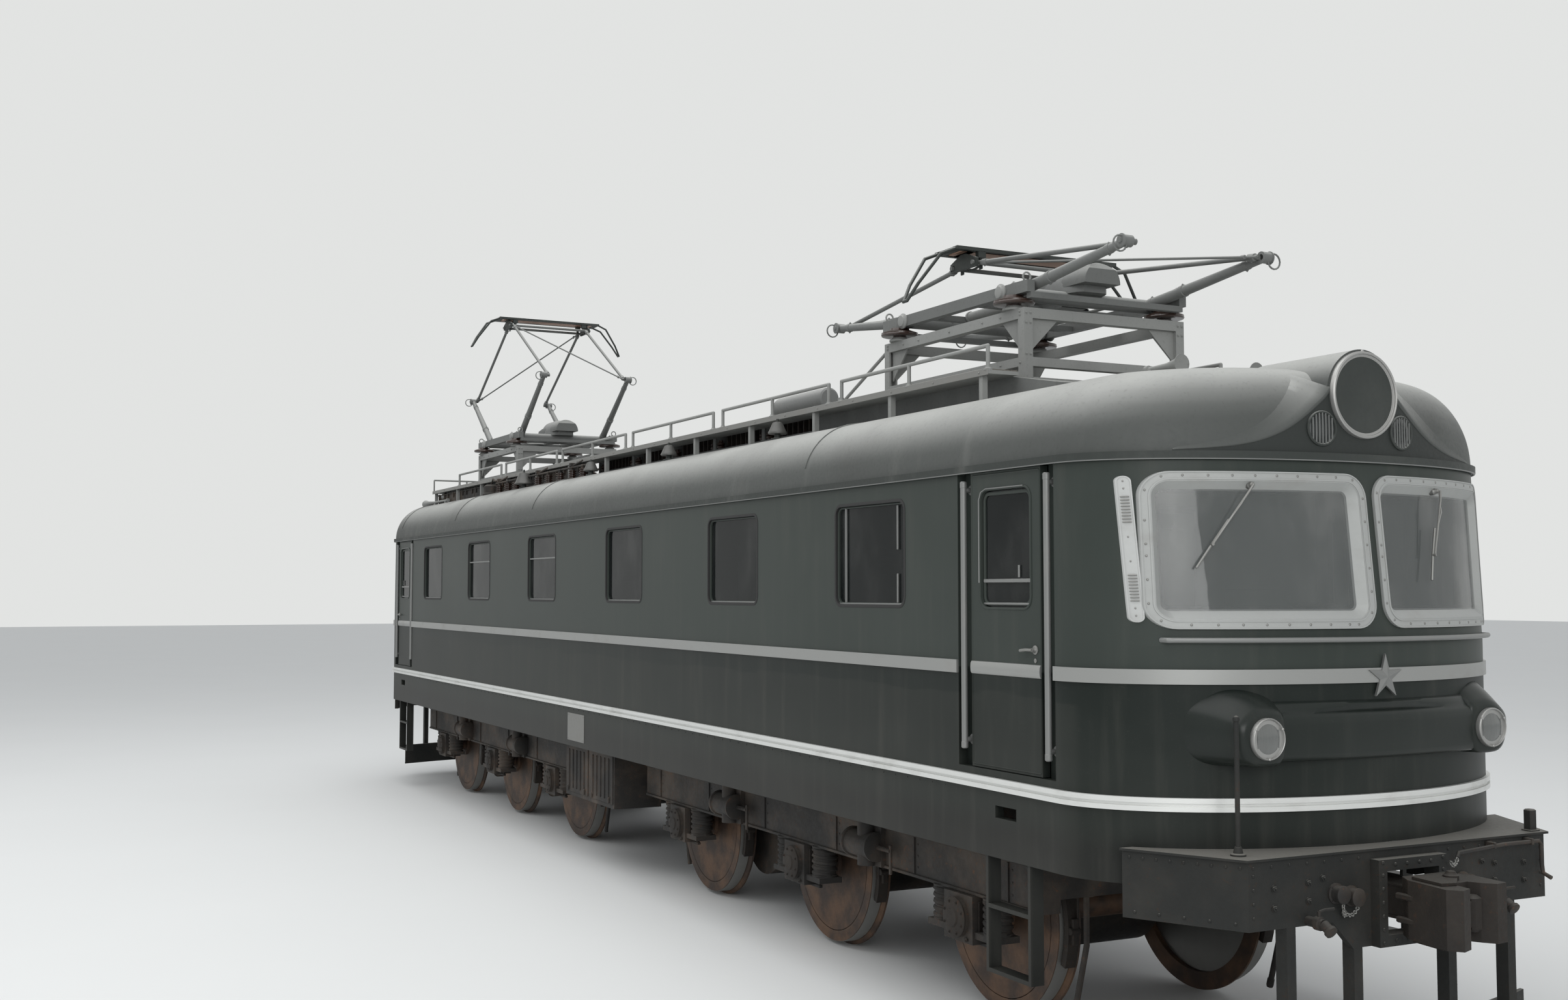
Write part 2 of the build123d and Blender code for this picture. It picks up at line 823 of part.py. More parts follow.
def make_axleboxes():
    boxes = []
    half, half_height = axlebox_width / 2, axlebox_height / 2
    wing_low = wheel_radius - half_height + spring_seat_thickness
    wing_top = wing_low + spring_seat_thickness
    reach, wing_y = spring_offset + spring_seat_width / 2, spring_seat_width / 2
    spring_top = bogie_frame_bottom - seat_gap
    for axle in (-axle_spacing, 0, axle_spacing):
        for side in (1, -1):
            y0, y1 = side * axlebox_inner_y, side * axlebox_outer_y
            y2, y3 = y1 + side * axlebox_cover_depth, side * (journal_end + 5)
            middle = side * bogie_frame_y
            z = wheel_radius
            parts = [block(axle - half, axle + half, y0, y1, z - half_height, z + half_height)]
            parts.append(rod((axle, y1, z), (axle, y2, z), axlebox_cover_radius))
            y4, y5 = middle - wing_y, middle + wing_y
            parts.append(block(axle - reach, axle + reach, y4, y5, wing_low, wing_top))
            for x in (axle - spring_offset, axle + spring_offset):
                parts.append(rod((x, middle, wing_top), (x, middle, spring_top), spring_radius))
            bore = rod((axle, y0 - side, z), (axle, y3, z), journal_radius + running_clearance)
            boxes.append(fused(parts) - bore)
    return boxes


# Buffer beam with its plates, coupler pocket and rail guard, at the leading end
def mirrored_outline(half):
    """An outline given on one side of the middle line, closed by its mirror image."""
    return half + [(x, -y) for x, y in reversed(half)]


def make_beam_box():
    """The hollow beam with its ledge on top, both cut to the nose."""
    plan = [(beam_back, beam_back_half_width), (beam_front, beam_half_width)]
    inner = [(beam_back - 1, beam_back_half_width - beam_plate)]
    inner.append((beam_front - beam_plate, beam_half_width - beam_plate))
    lip = [(x + ledge_lip * (x == beam_front), y + ledge_lip) for x, y in plan]
    box = prism(mirrored_outline(plan), beam_bottom, ledge_top)
    box -= prism(mirrored_outline(inner), beam_bottom - 1, ledge_top - beam_plate)
    ledge = prism(mirrored_outline(lip), ledge_top - ledge_plate, ledge_top)
    body = nose(seat_gap, skirt_bottom - ledge_top + beam_bottom, gutter_height)
    return (box - body) + (ledge - body)


def make_rail_guard():
    """The bent plate above the rails, on struts down from the beam."""
    tip = beam_front + guard_stand_off
    bend_y = guard_half_width * 0.35
    back = tip - guard_plate - guard_stand_off
    outer = [(guard_x - guard_plate, guard_half_width), (guard_x, guard_half_width), (tip, bend_y)]
    inner = [(tip, -bend_y), (guard_x, -guard_half_width), (guard_x - guard_plate, -guard_half_width)]
    parts = [prism(outer + inner + [(back, -bend_y), (back, bend_y)], guard_bottom, guard_top)]
    low, high = guard_bottom + strut_margin, beam_bottom + strut_margin
    for share in (-0.7, -0.3, 0.3, 0.7):
        y = guard_half_width * share
        x0 = beam_front - 2 * beam_plate
        parts.append(block(x0, beam_front, y - strut_half_width, y + strut_half_width, low, high))
    return parts


def make_buffer_beam():
    low = pocket_bottom - pocket_collar
    slope_y = centre_half_width - centre_slant
    apron = [(-centre_half_width, beam_bottom + 1), (centre_half_width, beam_bottom + 1)]
    apron += [(slope_y, low), (-slope_y, low)]
    x0, x1 = beam_front - beam_plate, beam_front + pocket_collar
    collar_half = pocket_half_width + pocket_collar
    beam = make_beam_box() + end_prism(apron, x0, beam_front)
    beam += block(x0, x1, -collar_half, collar_half, low, pocket_top + pocket_collar)
    beam -= block(beam_back, beyond + x1, -pocket_half_width, pocket_half_width, pocket_bottom, pocket_top)
    pole = rod((pole_x, -pole_y, ledge_top - ledge_plate), (pole_x, -pole_y, pole_top), pole_radius)
    return fused([beam, pole] + make_rail_guard())


def make_coupler():
    """The automatic coupler of the leading end: a shank on its pin, a wide head with two claws."""
    tip = length_over_couplers / 2
    neck = tip - coupler_head_length
    low, high = coupler_height - shank_half_height, coupler_height + shank_half_height
    shank = block(coupler_pivot, neck, -shank_half_width, shank_half_width, low, high)
    eye = rod((coupler_pivot, 0, low), (coupler_pivot, 0, high), shank_half_width)
    claw = [(neck, -coupler_neck_half_width), (neck + 90, -coupler_cheek), (tip - 60, -coupler_claw)]
    claw += [(tip, 10 - coupler_cheek), (tip - 30, -10 - coupler_mouth), (tip - 160, 10 - coupler_mouth)]
    claw += [(tip - 175, 30), (tip - 120, 60), (tip - 60, coupler_mouth)]
    claw += [(tip - 70, coupler_cheek - 20), (neck + 150, coupler_cheek), (neck, coupler_neck_half_width)]
    head = prism(claw, coupler_height - coupler_head_half_height, coupler_height + coupler_head_half_height)
    hole_radius = coupler_pin_radius + running_clearance
    hole = rod((coupler_pivot, 0, low - beyond), (coupler_pivot, 0, high + beyond), hole_radius)
    return fused([shank, eye, head]) - hole


# Lamp fairing: the nose swells round each lower lamp to a nearly flat face, with a band between the two
def fairing_plan(side_x, middle_x, height):
    ends = [(side_x, fairing_reach, height), (side_x, -fairing_reach, height)]
    back = [(straight_half_length, across, height) for across in (-fairing_reach, fairing_reach)]
    arc = ThreePointArc(ends[1], (middle_x, 0, height), ends[0])
    return make_face([arc, Polyline(ends[0], back[1], back[0], ends[1])])


def lamp_swelling(side, x, offsets):
    corners = [(x, side * (lamp_y + across), lamp_height + rise) for across, rise in offsets]
    return make_face(Polyline(*corners, close=True))


def make_lamp_fairing():
    face_x = lamp_face_x - lamp_depth
    nose_x = straight_half_length + nose_depth * (1 - (fairing_reach / body_half_width) ** 2) ** 0.5
    low, high = lamp_height - fairing_fall, lamp_height + fairing_rise
    front = [face_x - fairing_corner, face_x + fairing_middle]
    crest = [nose_x + fairing_lip, straight_half_length + nose_depth + fairing_lip]
    shape = extrude(fairing_plan(*front, low), high - low)
    top = fairing_plan(*crest, lamp_height + fairing_crest)
    shape += loft([fairing_plan(*front, high), top], ruled=True)
    for side in (1, -1):
        root = lamp_swelling(side, fairing_root_x, fairing_root)
        shape += loft([root, lamp_swelling(side, face_x, fairing_face)], ruled=True)
    return shape - nose(seat_gap, skirt_bottom, gutter_height)


def make_lamps():
    lamps = []
    for side in (1, -1):
        y = side * lamp_y
        back, front = lamp_face_x - lamp_depth + seat_gap, lamp_face_x + lamp_ring
        lamps.append(rod((back, y, lamp_height), (front, y, lamp_height), lamp_radius))
    back, front = main_lamp_face_x + seat_gap, main_lamp_face_x + main_lamp_ring
    lamps.append(rod((back, 0, main_lamp_height), (front, 0, main_lamp_height), main_lamp_radius))
    return lamps


# Handrails beside the doors
def make_door_rails():
    rails = []
    y_wall = body_half_width - jamb_inset
    y = body_half_width
    for x in (door_centre - handrail_offset, door_centre + handrail_offset):
        rail = rod((x, y, handrail_bottom), (x, y, handrail_top), handrail_radius)
        for z in (handrail_bottom + handrail_foot, handrail_top - handrail_foot):
            rail += rod((x, y, z), (x, y_wall + seat_gap, z), handrail_radius * 0.8)
        rails += four_ways(rail)
    return rails


# Cab interior and the machine room's heavy block
def make_bulkheads():
    x = door_centre - doorway_half_width
    inset = bulkhead_thickness / 2
    half = body_half_width - jamb_inset - jamb_thickness - seat_gap
    plate = block(x - inset, x + inset, -half, half, floor_top + seat_gap, gutter_height - seat_gap)
    return both_ends(plate)


def make_desks():
    """The driver's desk: a pedestal under a sloping top, cut to the inside of the nose."""
    foot = floor_top + seat_gap
    profile = [
        (desk_back_x, foot),
        (desk_front_x, foot),
        (desk_front_x, desk_top),
        (desk_back_x + 100, desk_top + desk_hump),
        (desk_back_x - desk_nosing, desk_top - desk_nosing),
        (desk_back_x, desk_top - 2 * desk_nosing),
    ]
    desk = side_prism(profile, -desk_half_width, desk_half_width)
    return both_ends(desk & nose(-wall - desk_gap, floor_top, gutter_height))


def make_seats():
    seats = []
    x0, x1 = seat_x - seat_half_width, seat_x + seat_half_width
    for y in (-seat_y, seat_y):
        post = rod((seat_x, y, floor_top + seat_gap), (seat_x, y, seat_height), seat_post_radius)
        y0, y1 = y - seat_half_width, y + seat_half_width
        top = seat_height + seat_pad
        cushion = block(x0, x1, y0, y1, seat_height - seat_post_radius / 6, top)
        back = block(x0, x0 + seat_back, y0, y1, top, seat_back_top)
        seats += both_ends(fused([post, cushion, back]))
    return seats


def make_machine_block():
    half = door_centre - doorway_half_width - machine_aisle
    return block(-half, half, -machine_half_width, machine_half_width, floor_top + seat_gap, machine_top)


def make_battery_boxes():
    half = bogie_centre - bogie_frame_half_length - battery_end_gap
    box = block(-half, half, battery_inner_y, battery_outer_y, battery_bottom, sole_bar_bottom - seat_gap)
    return [box, mirrored_y(box)]


def make_air_reservoirs():
    tanks = []
    half = bogie_centre - bogie_frame_half_length - reservoir_end_gap
    strap = reservoir_strap / 2
    hanger_top = floor_top - floor_thickness - seat_gap
    for y in (-reservoir_y, reservoir_y):
        tank = rod((-half, y, reservoir_height), (half, y, reservoir_height), reservoir_radius)
        for x in (-half + reservoir_hanger_inset, half - reservoir_hanger_inset):
            width = reservoir_hanger_half_width
            tank += block(x - strap, x + strap, y - width, y + width, reservoir_height, hanger_top)
        tanks.append(tank)
    return tanks


# Roof equipment
def roof_height(y):
    corner, *_, crown = roof_arcs(0)
    centre_y = body_half_width - shoulder_radius
    rise = crown[2] - corner[2]
    crown_radius = (rise**2 + centre_y**2 - shoulder_radius**2) / (2 * (rise - shoulder_radius))
    return crown[2] - crown_radius + sqrt(crown_radius**2 - y**2)


def pantograph_place(end):
    return pantograph_centre if end == 1 else -pantograph_centre - rear_pantograph_setback


def roof_block():
    """All that lies under the roof's surface and the seating gap above it, to cut feet to the curve."""
    face = Pos(-straight_half_length, 0, seat_gap) * half_roof_solid_face()
    half = extrude(face, 2 * straight_half_length, dir=(1, 0, 0))
    return half + mirrored_y(half)


def monitor_base():
    return roof_height(monitor_half_width) + seat_gap


def monitor_block():
    """The monitor as one block: a flat top that slopes down over the leading end."""
    base = monitor_base()
    profile = [
        (monitor_front, base + monitor_toe),
        (monitor_shoulder, monitor_top),
        (louvre_rear, monitor_top),
        (louvre_rear, base - 2 * seat_gap),
        (monitor_front, base - 2 * seat_gap),
    ]
    return side_prism(profile, -monitor_half_width, monitor_half_width)


def make_roof_monitor():
    """The monitor with its open bays, between posts, along both sides behind the solid front box."""
    body = monitor_block()
    z0, z1 = monitor_base() + bay_sill, monitor_top - bay_head
    pitch = (louvre_front - louvre_rear) / bay_count
    for i in range(bay_count):
        x0 = louvre_rear + i * pitch + bay_post / 2
        x1 = louvre_rear + (i + 1) * pitch - bay_post / 2
        bay = block(x0, x1, monitor_half_width - bay_depth, monitor_half_width + 1, z0, z1)
        body -= bay
        body -= mirrored_y(bay)
    return body - roof_block()


def make_walkways():
    """The boards along both edges of the roof, on posts, with their separate hoops for the hand."""
    y0, y1 = monitor_half_width, monitor_half_width + walkway_width
    half = walkway_post / 2
    low = walkway_top - walkway_thickness
    parts = [block(walkway_rear, walkway_front, y0 + seat_gap, y1, low, walkway_top)]
    pitch = (walkway_front - walkway_rear - 2 * walkway_post_inset) / (walkway_posts - 1)
    for i in range(walkway_posts):
        x = walkway_rear + walkway_post_inset + i * pitch
        parts.append(block(x - half, x + half, y1 - 2.5 * half, y1 - half / 2, roof_height(y1), walkway_top))
    y = y1 - hoop_inset
    z = hoop_top - hoop_radius
    for i in range(hoop_count):
        x1 = walkway_front - 2 * hoop_radius - i * hoop_pitch
        x0 = x1 - hoop_length
        parts.append(rod((x0, y, z), (x1, y, z), hoop_radius))
        for x in (x0, (x0 + x1) / 2, x1):
            parts.append(rod((x, y, walkway_top - walkway_thickness / 2), (x, y, z), hoop_radius))
        for x in (x0, x1):
            parts.append(Pos(x, y, z) * Sphere(hoop_radius))
    board = fused(parts) - roof_block()
    return [board, mirrored_y(board)]


def make_busbars():
    """Rows of bell insulators behind the monitor, each row with its bar along the top."""
    rows = []
    y = insulator_row_y
    foot = roof_height(y) - bell_radius * 0.2
    top = foot + bell_height
    bell = rod((0, y, foot), (0, y, top), bell_radius, bell_top_radius)
    rear = insulator_row_front - (insulator_row_count - 1) * insulator_row_pitch
    parts = [rod((rear, y, top), (insulator_row_front, y, top), busbar_radius)]
    for i in range(insulator_row_count):
        x = insulator_row_front - i * insulator_row_pitch
        parts.append(Pos(x, 0, 0) * bell)
    row = fused(parts) - roof_block()
    return [row, mirrored_y(row)]


def make_stands():
    """The two stands: channel legs with gussets between rails at the deck and at the top."""
    stands = []
    leg = stand_leg / 2
    rail_low, rail_high = monitor_top + seat_gap, monitor_top + seat_gap + stand_rail
    under = stand_top - stand_leg
    tip = stand_top - stand_leg - gusset_reach
    half_gusset = gusset_thickness / 2
    for end in (1, -1):
        parts = []
        low = roof_height(stand_y + stand_leg)
        for side in (1, -1):
            y = side * stand_y
            for x in (-stand_half_length, stand_half_length):
                outward = 1 if x > 0 else -1
                face = x + outward * leg
                parts.append(block(face - outward * stand_web, face, y - leg, y + leg, low, stand_top))
                for edge in (y - leg, y + leg - stand_web):
                    parts.append(block(x - leg, x + leg, edge, edge + stand_web, low, stand_top))
                near, far = x - outward * leg, x - outward * (leg + gusset_reach)
                gusset = [(near, under), (far, under), (near, tip)]
                parts.append(side_prism(gusset, y - half_gusset, y + half_gusset))
                near, far = y - side * leg, y - side * (leg + gusset_reach)
                gusset = [(near, under), (far, under), (near, tip)]
                parts.append(end_prism(gusset, x - half_gusset, x + half_gusset))
            for z0, z1 in ((under, stand_top), (rail_low, rail_high)):
                parts.append(block(-stand_half_length, stand_half_length, y - leg, y + leg, z0, z1))
        for x in (-stand_half_length, stand_half_length):
            for z0, z1 in ((under, stand_top), (rail_low, rail_high)):
                parts.append(block(x - leg, x + leg, -stand_y, stand_y, z0, z1))
        stand = Pos(pantograph_place(end), 0, 0) * fused(parts)
        stand -= Pos(0, 0, seat_gap) * monitor_block()
        stands.append(stand - roof_block())
    return stands


def make_insulators():
    """One broad porcelain disc on a narrow neck under each corner of the bases."""
    low = stand_top + seat_gap
    high = base_height - base_depth / 2 - seat_gap
    disc = high - insulator_disc
    outline = [
        (0, low),
        (insulator_foot, low),
        (insulator_foot, low + insulator_edge),
        (insulator_neck, low + 2 * insulator_edge),
        (insulator_neck, disc),
        (insulator_radius - insulator_edge, disc),
        (insulator_radius, disc + insulator_edge),
        (insulator_radius, disc + 2 * insulator_edge),
        (insulator_radius * 0.55, high - insulator_edge),
        (insulator_foot, high),
        (0, high),
    ]
    stack = revolve(make_face(Polyline(*[(r, 0, z) for r, z in outline], close=True)), Axis.Z, 360)
    discs = []
    for end in (1, -1):
        for x in (-insulator_x, insulator_x):
            for y in (-stand_y, stand_y):
                discs.append(Pos(pantograph_place(end) + x, y, 0) * stack)
    return discs


def make_bases():
    """The frames that carry the arms' bearings, with the hood of the raising gear and the drive under it."""
    bases = []
    half_depth = base_depth / 2
    reach = insulator_x + insulator_radius + base_end
    low, high = base_height - half_depth, base_height + half_depth
    hood = [(hood_rear_x, hood_bottom), (hood_rear_x, hood_bottom + hood_lip), (hood_crest_x, hood_top)]
    hood += [(hood_front_x - hood_lip, hood_top), (hood_front_x, hood_top - hood_lip)]
    hood.append((hood_front_x, hood_bottom))
    for end in (1, -1):
        parts = []
        for side in (1, -1):
            y = side * stand_y
            parts.append(block(-reach, reach, y - base_member / 2, y + base_member / 2, low, high))
        for x in (-base_cross_x, base_cross_x):
            half = base_member / 2
            parts.append(block(x - half, x + half, -stand_y, stand_y, low, base_height))
        for x in (-reach + base_cross_width / 2, reach - base_cross_width / 2):
            half = base_cross_width / 2
            parts.append(block(x - half, x + half, -stand_y, stand_y, low - base_cross_drop, low + 2))
        cover = side_prism(hood, -hood_half_width, hood_half_width)
        crest = hood_top - hood_half_width
        x0, x1, half = hood_rear_x - 1, hood_front_x + 1, hood_half_width
        tunnel = rod((x0, 0, crest), (x1, 0, crest), half)
        tunnel += block(x0, x1, -half, half, hood_bottom - 1, crest)
        parts.append(cover & tunnel)
        half = drive_half_width
        parts.append(block(drive_rear_x, drive_front_x, -half, half, low, hood_bottom + 1))
        base = fused(parts)
        bore = stub_radius + running_clearance
        for x in (-lower_pivot_x, lower_pivot_x):
            base -= rod((x, -beyond, base_height), (x, beyond, base_height), bore)
        bases.append(Pos(pantograph_place(end), 0, 0) * base)
    return bases


def pantograph_points(low_angle):
    """Knuckle and head pivot of the leading pair of arms, from the pantograph's centre."""
    knuckle_x = lower_pivot_x + lower_arm_length * cos(radians(low_angle))
    knuckle_z = base_height + lower_arm_length * sin(radians(low_angle))
    run = knuckle_x - head_pivot_x
    head_z = knuckle_z + sqrt(upper_arm_length**2 - run**2)
    return knuckle_x, knuckle_z, head_z


def make_lower_arm(low_angle):
    knuckle_x, knuckle_z, _ = pantograph_points(low_angle)
    inside = stand_y - base_member / 2 - shaft_end_gap
    x, z = lower_pivot_x, base_height
    parts = [rod((x, -inside, z), (x, inside, z), shaft_radius)]
    parts.append(rod((x, -stand_y, z), (x, stand_y, z), stub_radius))
    half = knuckle_sleeve_half_length
    for side in (1, -1):
        y = side * lower_arm_y
        start, end = (lower_pivot_x, y, base_height), (knuckle_x, y, knuckle_z)
        parts.append(rod(start, end, lower_arm_radius, lower_arm_tip_radius))
        inner, outer = (knuckle_x, y - half, knuckle_z), (knuckle_x, y + half, knuckle_z)
        parts.append(rod(inner, outer, knuckle_sleeve_radius))
    arm = fused(parts)
    hole = knuckle_pin_radius + running_clearance
    for side in (1, -1):
        y = side * lower_arm_y
        arm -= rod((knuckle_x, y - 2 * half, knuckle_z), (knuckle_x, y + 2 * half, knuckle_z), hole)
    return arm


def make_upper_arm(low_angle):
    """Two tubes and a long diagonal, hung on a pin at each knuckle, with the head's pin at the top."""
    knuckle_x, knuckle_z, head_z = pantograph_points(low_angle)
    pin_in = upper_arm_y - upper_tube_radius
    pin_out = lower_arm_y + knuckle_sleeve_half_length + pin_overhang
    head_reach = head_plate_y + head_plate_half_thickness + pin_overhang
    parts = [rod((head_pivot_x, -head_reach, head_z), (head_pivot_x, head_reach, head_z), head_pin_radius)]
    for side in (1, -1):
        y = side * upper_arm_y
        inner, outer = (knuckle_x, side * pin_in, knuckle_z), (knuckle_x, side * pin_out, knuckle_z)
        parts.append(rod(inner, outer, knuckle_pin_radius))
        parts.append(rod((knuckle_x, y, knuckle_z), (head_pivot_x, y, head_z), upper_tube_radius))
    low, high = (knuckle_x, upper_arm_y, knuckle_z), (head_pivot_x, -upper_arm_y, head_z)
    parts.append(rod(low, high, brace_radius))
    return fused(parts)


def make_horn(strip_z):
    """The horn of one end: one tube bent down from a strip, across in a loop and up to the other strip."""
    turns = [(strip_offset, head_half_length - horn_radius, horn_sink)]
    turns.append((strip_offset * 0.9, head_half_length + 110, 62))
    turns.append((strip_offset * 0.5, horn_half_length - 85, 275))
    turns.append((horn_tip_gap, horn_half_length - horn_radius, horn_drop - horn_radius))
    path = [Vector(x, y, strip_z - drop) for x, y, drop in turns]
    path += [Vector(-point.X, point.Y, point.Z) for point in reversed(path)]
    section = Plane(origin=path[0], z_dir=path[1] - path[0]) * Circle(horn_radius)
    return sweep(section, path=Polyline(*path), transition=Transition.RIGHT)


def make_head(low_angle):
    """Two contact strips on cross pieces, the side plates with their eyes, and a horn at each end."""
    _, _, head_z = pantograph_points(low_angle)
    strip_z = head_z + head_height
    under = strip_z - strip_depth
    half = strip_width / 2
    eye = head_pivot_x + head_eye_margin
    horn = make_horn(strip_z)
    parts = [horn, mirrored_y(horn)]
    for x in (-strip_offset, strip_offset):
        parts.append(block(x - half, x + half, -head_half_length, head_half_length, under, strip_z))
    for side in (1, -1):
        for y in (head_plate_y, head_half_length - half):
            y0, y1 = side * (y - half), side * (y + half)
            parts.append(block(-strip_offset, strip_offset, y0, y1, under, strip_z - 2))
        y = side * head_plate_y
        plate = [
            (-eye, head_z - head_eye_margin),
            (eye, head_z - head_eye_margin),
            (eye, head_z + head_eye_margin),
            (half, under + 1),
            (-half, under + 1),
            (-eye, head_z + head_eye_margin),
        ]
        parts.append(side_prism(plate, y - head_plate_half_thickness, y + head_plate_half_thickness))
    head = fused(parts)
    span = head_half_length
    bore = head_pin_radius + running_clearance
    head -= rod((head_pivot_x, -span, head_z), (head_pivot_x, span, head_z), bore)
    reach = head_pin_radius + head_eye_drift + head_eye_play
    slot_z0, slot_z1 = head_z - head_eye_half_height, head_z + head_eye_half_height
    return head - block(-head_pivot_x - reach, -head_pivot_x + reach, -span, span, slot_z0, slot_z1)


# Writing every piece
save(make_underframe(), "underframe")
left_wall = make_side_wall()
save(left_wall, "side_wall_left")
save(mirrored_y(left_wall), "side_wall_right")
shell = make_cab_shell()
save(shell, "cab_shell_front")
save(mirrored_x(shell), "cab_shell_rear")
save(make_roof(), "roof_shell")
save(make_gutter(), "roof_gutter")
frames = group(make_windscreen_frames())
save(group(both_ends(frames)), "windscreen_frames")
save(group(both_ends(group(make_windscreen_glass()))), "windscreen_glass")
save(group(make_side_glass()), "side_glass")
save(group(make_mouldings()), "body_mouldings")
save(group(both_ends(make_lamp_fairing())), "lamp_fairings")
save(group(both_ends(group(make_lamps()))), "lamps")
save(group(make_door_rails()), "door_rails")
save(group(make_bulkheads()), "cab_bulkheads")
save(group(make_desks()), "cab_desks")
save(group(make_seats()), "cab_seats")
save(make_machine_block(), "machine_block")
save(group(make_battery_boxes()), "battery_boxes")
save(group(make_air_reservoirs()), "air_reservoirs")
save(make_roof_monitor(), "roof_monitor")
save(group(make_walkways()), "roof_walkways")
save(group(make_busbars()), "roof_busbars")
save(group(make_stands()), "pantograph_stands")
save(group(make_insulators()), "pantograph_insulators")
save(group(make_bases()), "pantograph_bases")

door, pane = make_door(), make_door_glass()
for name, place in (
    ("front_left", lambda shape: shape),
    ("front_right", mirrored_y),
    ("rear_left", mirrored_x),
    ("rear_right", lambda shape: mirrored_x(mirrored_y(shape))),
):
    save(place(door), f"cab_door_{name}")
    save(place(pane), f"door_glass_{name}")

beam, coupler = make_buffer_beam(), make_coupler()
for name, place in (("front", lambda shape: shape), ("rear", mirrored_x)):
    save(place(beam), f"buffer_beam_{name}")
    save(place(coupler), f"coupler_{name}")

bogie, axleboxes, wheelset = make_bogie_frame(), group(make_axleboxes()), make_wheelset()
for name, place in (("front", lambda shape: shape), ("rear", mirrored_x)):
    centre = Pos(bogie_centre, 0, 0)
    save(place(centre * bogie), f"bogie_frame_{name}")
    save(place(centre * axleboxes), f"axleboxes_{name}")
number = 0
for centre in (bogie_centre, -bogie_centre):
    for offset in (axle_spacing, 0, -axle_spacing):
        number += 1
        save(Pos(centre + offset, 0, 0) * wheelset, f"wheelset_{number}")

for name, end, angle in (("front", 1, lowered_angle), ("rear", -1, raised_angle)):
    place = Pos(pantograph_place(end), 0, 0)
    lower, upper = make_lower_arm(angle), make_upper_arm(angle)
    save(place * lower, f"pantograph_{name}_lower_arm_fore")
    save(place * mirrored_x(lower), f"pantograph_{name}_lower_arm_aft")
    save(place * upper, f"pantograph_{name}_upper_arm_fore")
    save(place * Rot(0, 0, 180) * upper, f"pantograph_{name}_upper_arm_aft")
    save(place * make_head(angle), f"pantograph_{name}_head")
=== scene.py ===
"""Dresses an electric locomotive: finishes, trim and small fittings around its solid model.

Everything is in metres. +X is the leading end, -Y the side that the camera sees, z = 0 the flange tips.
"""
import logging
from dataclasses import dataclass
from enum import Enum
from math import copysign, cos, hypot, pi, radians, sin, sqrt
from typing import Callable, ClassVar, Iterable, Mapping, Optional, Sequence, Union

import bmesh
import bpy
from mathutils import Matrix, Vector


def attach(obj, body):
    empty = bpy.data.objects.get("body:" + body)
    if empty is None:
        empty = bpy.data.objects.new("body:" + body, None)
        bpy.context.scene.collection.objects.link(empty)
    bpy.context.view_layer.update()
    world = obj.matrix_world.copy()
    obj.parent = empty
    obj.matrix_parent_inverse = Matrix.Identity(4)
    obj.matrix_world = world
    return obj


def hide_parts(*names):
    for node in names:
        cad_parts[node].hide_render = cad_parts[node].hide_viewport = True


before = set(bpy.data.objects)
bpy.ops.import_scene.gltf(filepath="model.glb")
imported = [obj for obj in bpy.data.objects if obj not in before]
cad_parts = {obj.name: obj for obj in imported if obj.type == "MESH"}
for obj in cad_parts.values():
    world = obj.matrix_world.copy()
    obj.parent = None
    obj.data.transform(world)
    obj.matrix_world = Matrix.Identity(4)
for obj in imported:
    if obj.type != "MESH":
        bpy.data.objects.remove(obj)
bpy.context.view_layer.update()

log = logging.getLogger("locomotive")
Point = Sequence[float]
Spot = tuple[float, float]
Number = Union[int, float]
Values = Optional[Mapping]


class End(Enum):
    """The two ends of the locomotive, as the sign of x."""

    FRONT = 1
    REAR = -1

    @property
    def label(self) -> str:
        """The end's name in node names."""
        return self.name.lower()


class Side(Enum):
    """The two sides of the locomotive, as the sign of y."""

    LEFT = 1
    RIGHT = -1

    @property
    def label(self) -> str:
        """The side's name in node names."""
        return self.name.lower()


# Shader maths


class Signal:
    """A number that varies over a surface: it wraps a socket, and arithmetic on it adds Math nodes."""

    def __init__(self, graph: "Graph", socket: bpy.types.NodeSocket) -> None:
        """Wrap one output socket of a graph."""
        self.graph = graph
        self.socket = socket

    def _math(self, operation: str, *values: Union["Signal", Number]) -> "Signal":
        """Add one Math node.

        Args:
            operation: Blender's name of the operation.
            values: its inputs in order.

        Returns:
            The node's result.
        """
        sockets = dict(enumerate(values))
        return self.graph.signal("ShaderNodeMath", {"operation": operation}, sockets)

    def __add__(self, other: Union["Signal", Number]) -> "Signal":
        """Sum."""
        return self._math("ADD", self, other)

    __radd__ = __add__

    def __sub__(self, other: Union["Signal", Number]) -> "Signal":
        """Difference."""
        return self._math("SUBTRACT", self, other)

    def __rsub__(self, other: Number) -> "Signal":
        """Difference from a number."""
        return self._math("SUBTRACT", other, self)

    def __mul__(self, other: Union["Signal", Number]) -> "Signal":
        """Product."""
        return self._math("MULTIPLY", self, other)

    __rmul__ = __mul__

    def __truediv__(self, other: Union["Signal", Number]) -> "Signal":
        """Quotient."""
        return self._math("DIVIDE", self, other)

    def __pow__(self, other: Number) -> "Signal":
        """Power."""
        return self._math("POWER", self, other)

    def larger(self, other: Union["Signal", Number]) -> "Signal":
        """The larger of two values."""
        return self._math("MAXIMUM", self, other)

    def smaller(self, other: Union["Signal", Number]) -> "Signal":
        """The smaller of two values."""
        return self._math("MINIMUM", self, other)

    def absolute(self) -> "Signal":
        """The value without its sign."""
        return self._math("ABSOLUTE", self)

    def ramp(self, low: Number, high: Number) -> "Signal":
        """A smooth step from 0 at low to 1 at high."""
        settings = {"interpolation_type": "SMOOTHSTEP", "clamp": True}
        sockets = {"Value": self, "From Min": low, "From Max": high, "To Min": 0, "To Max": 1}
        return self.graph.signal("ShaderNodeMapRange", settings, sockets)


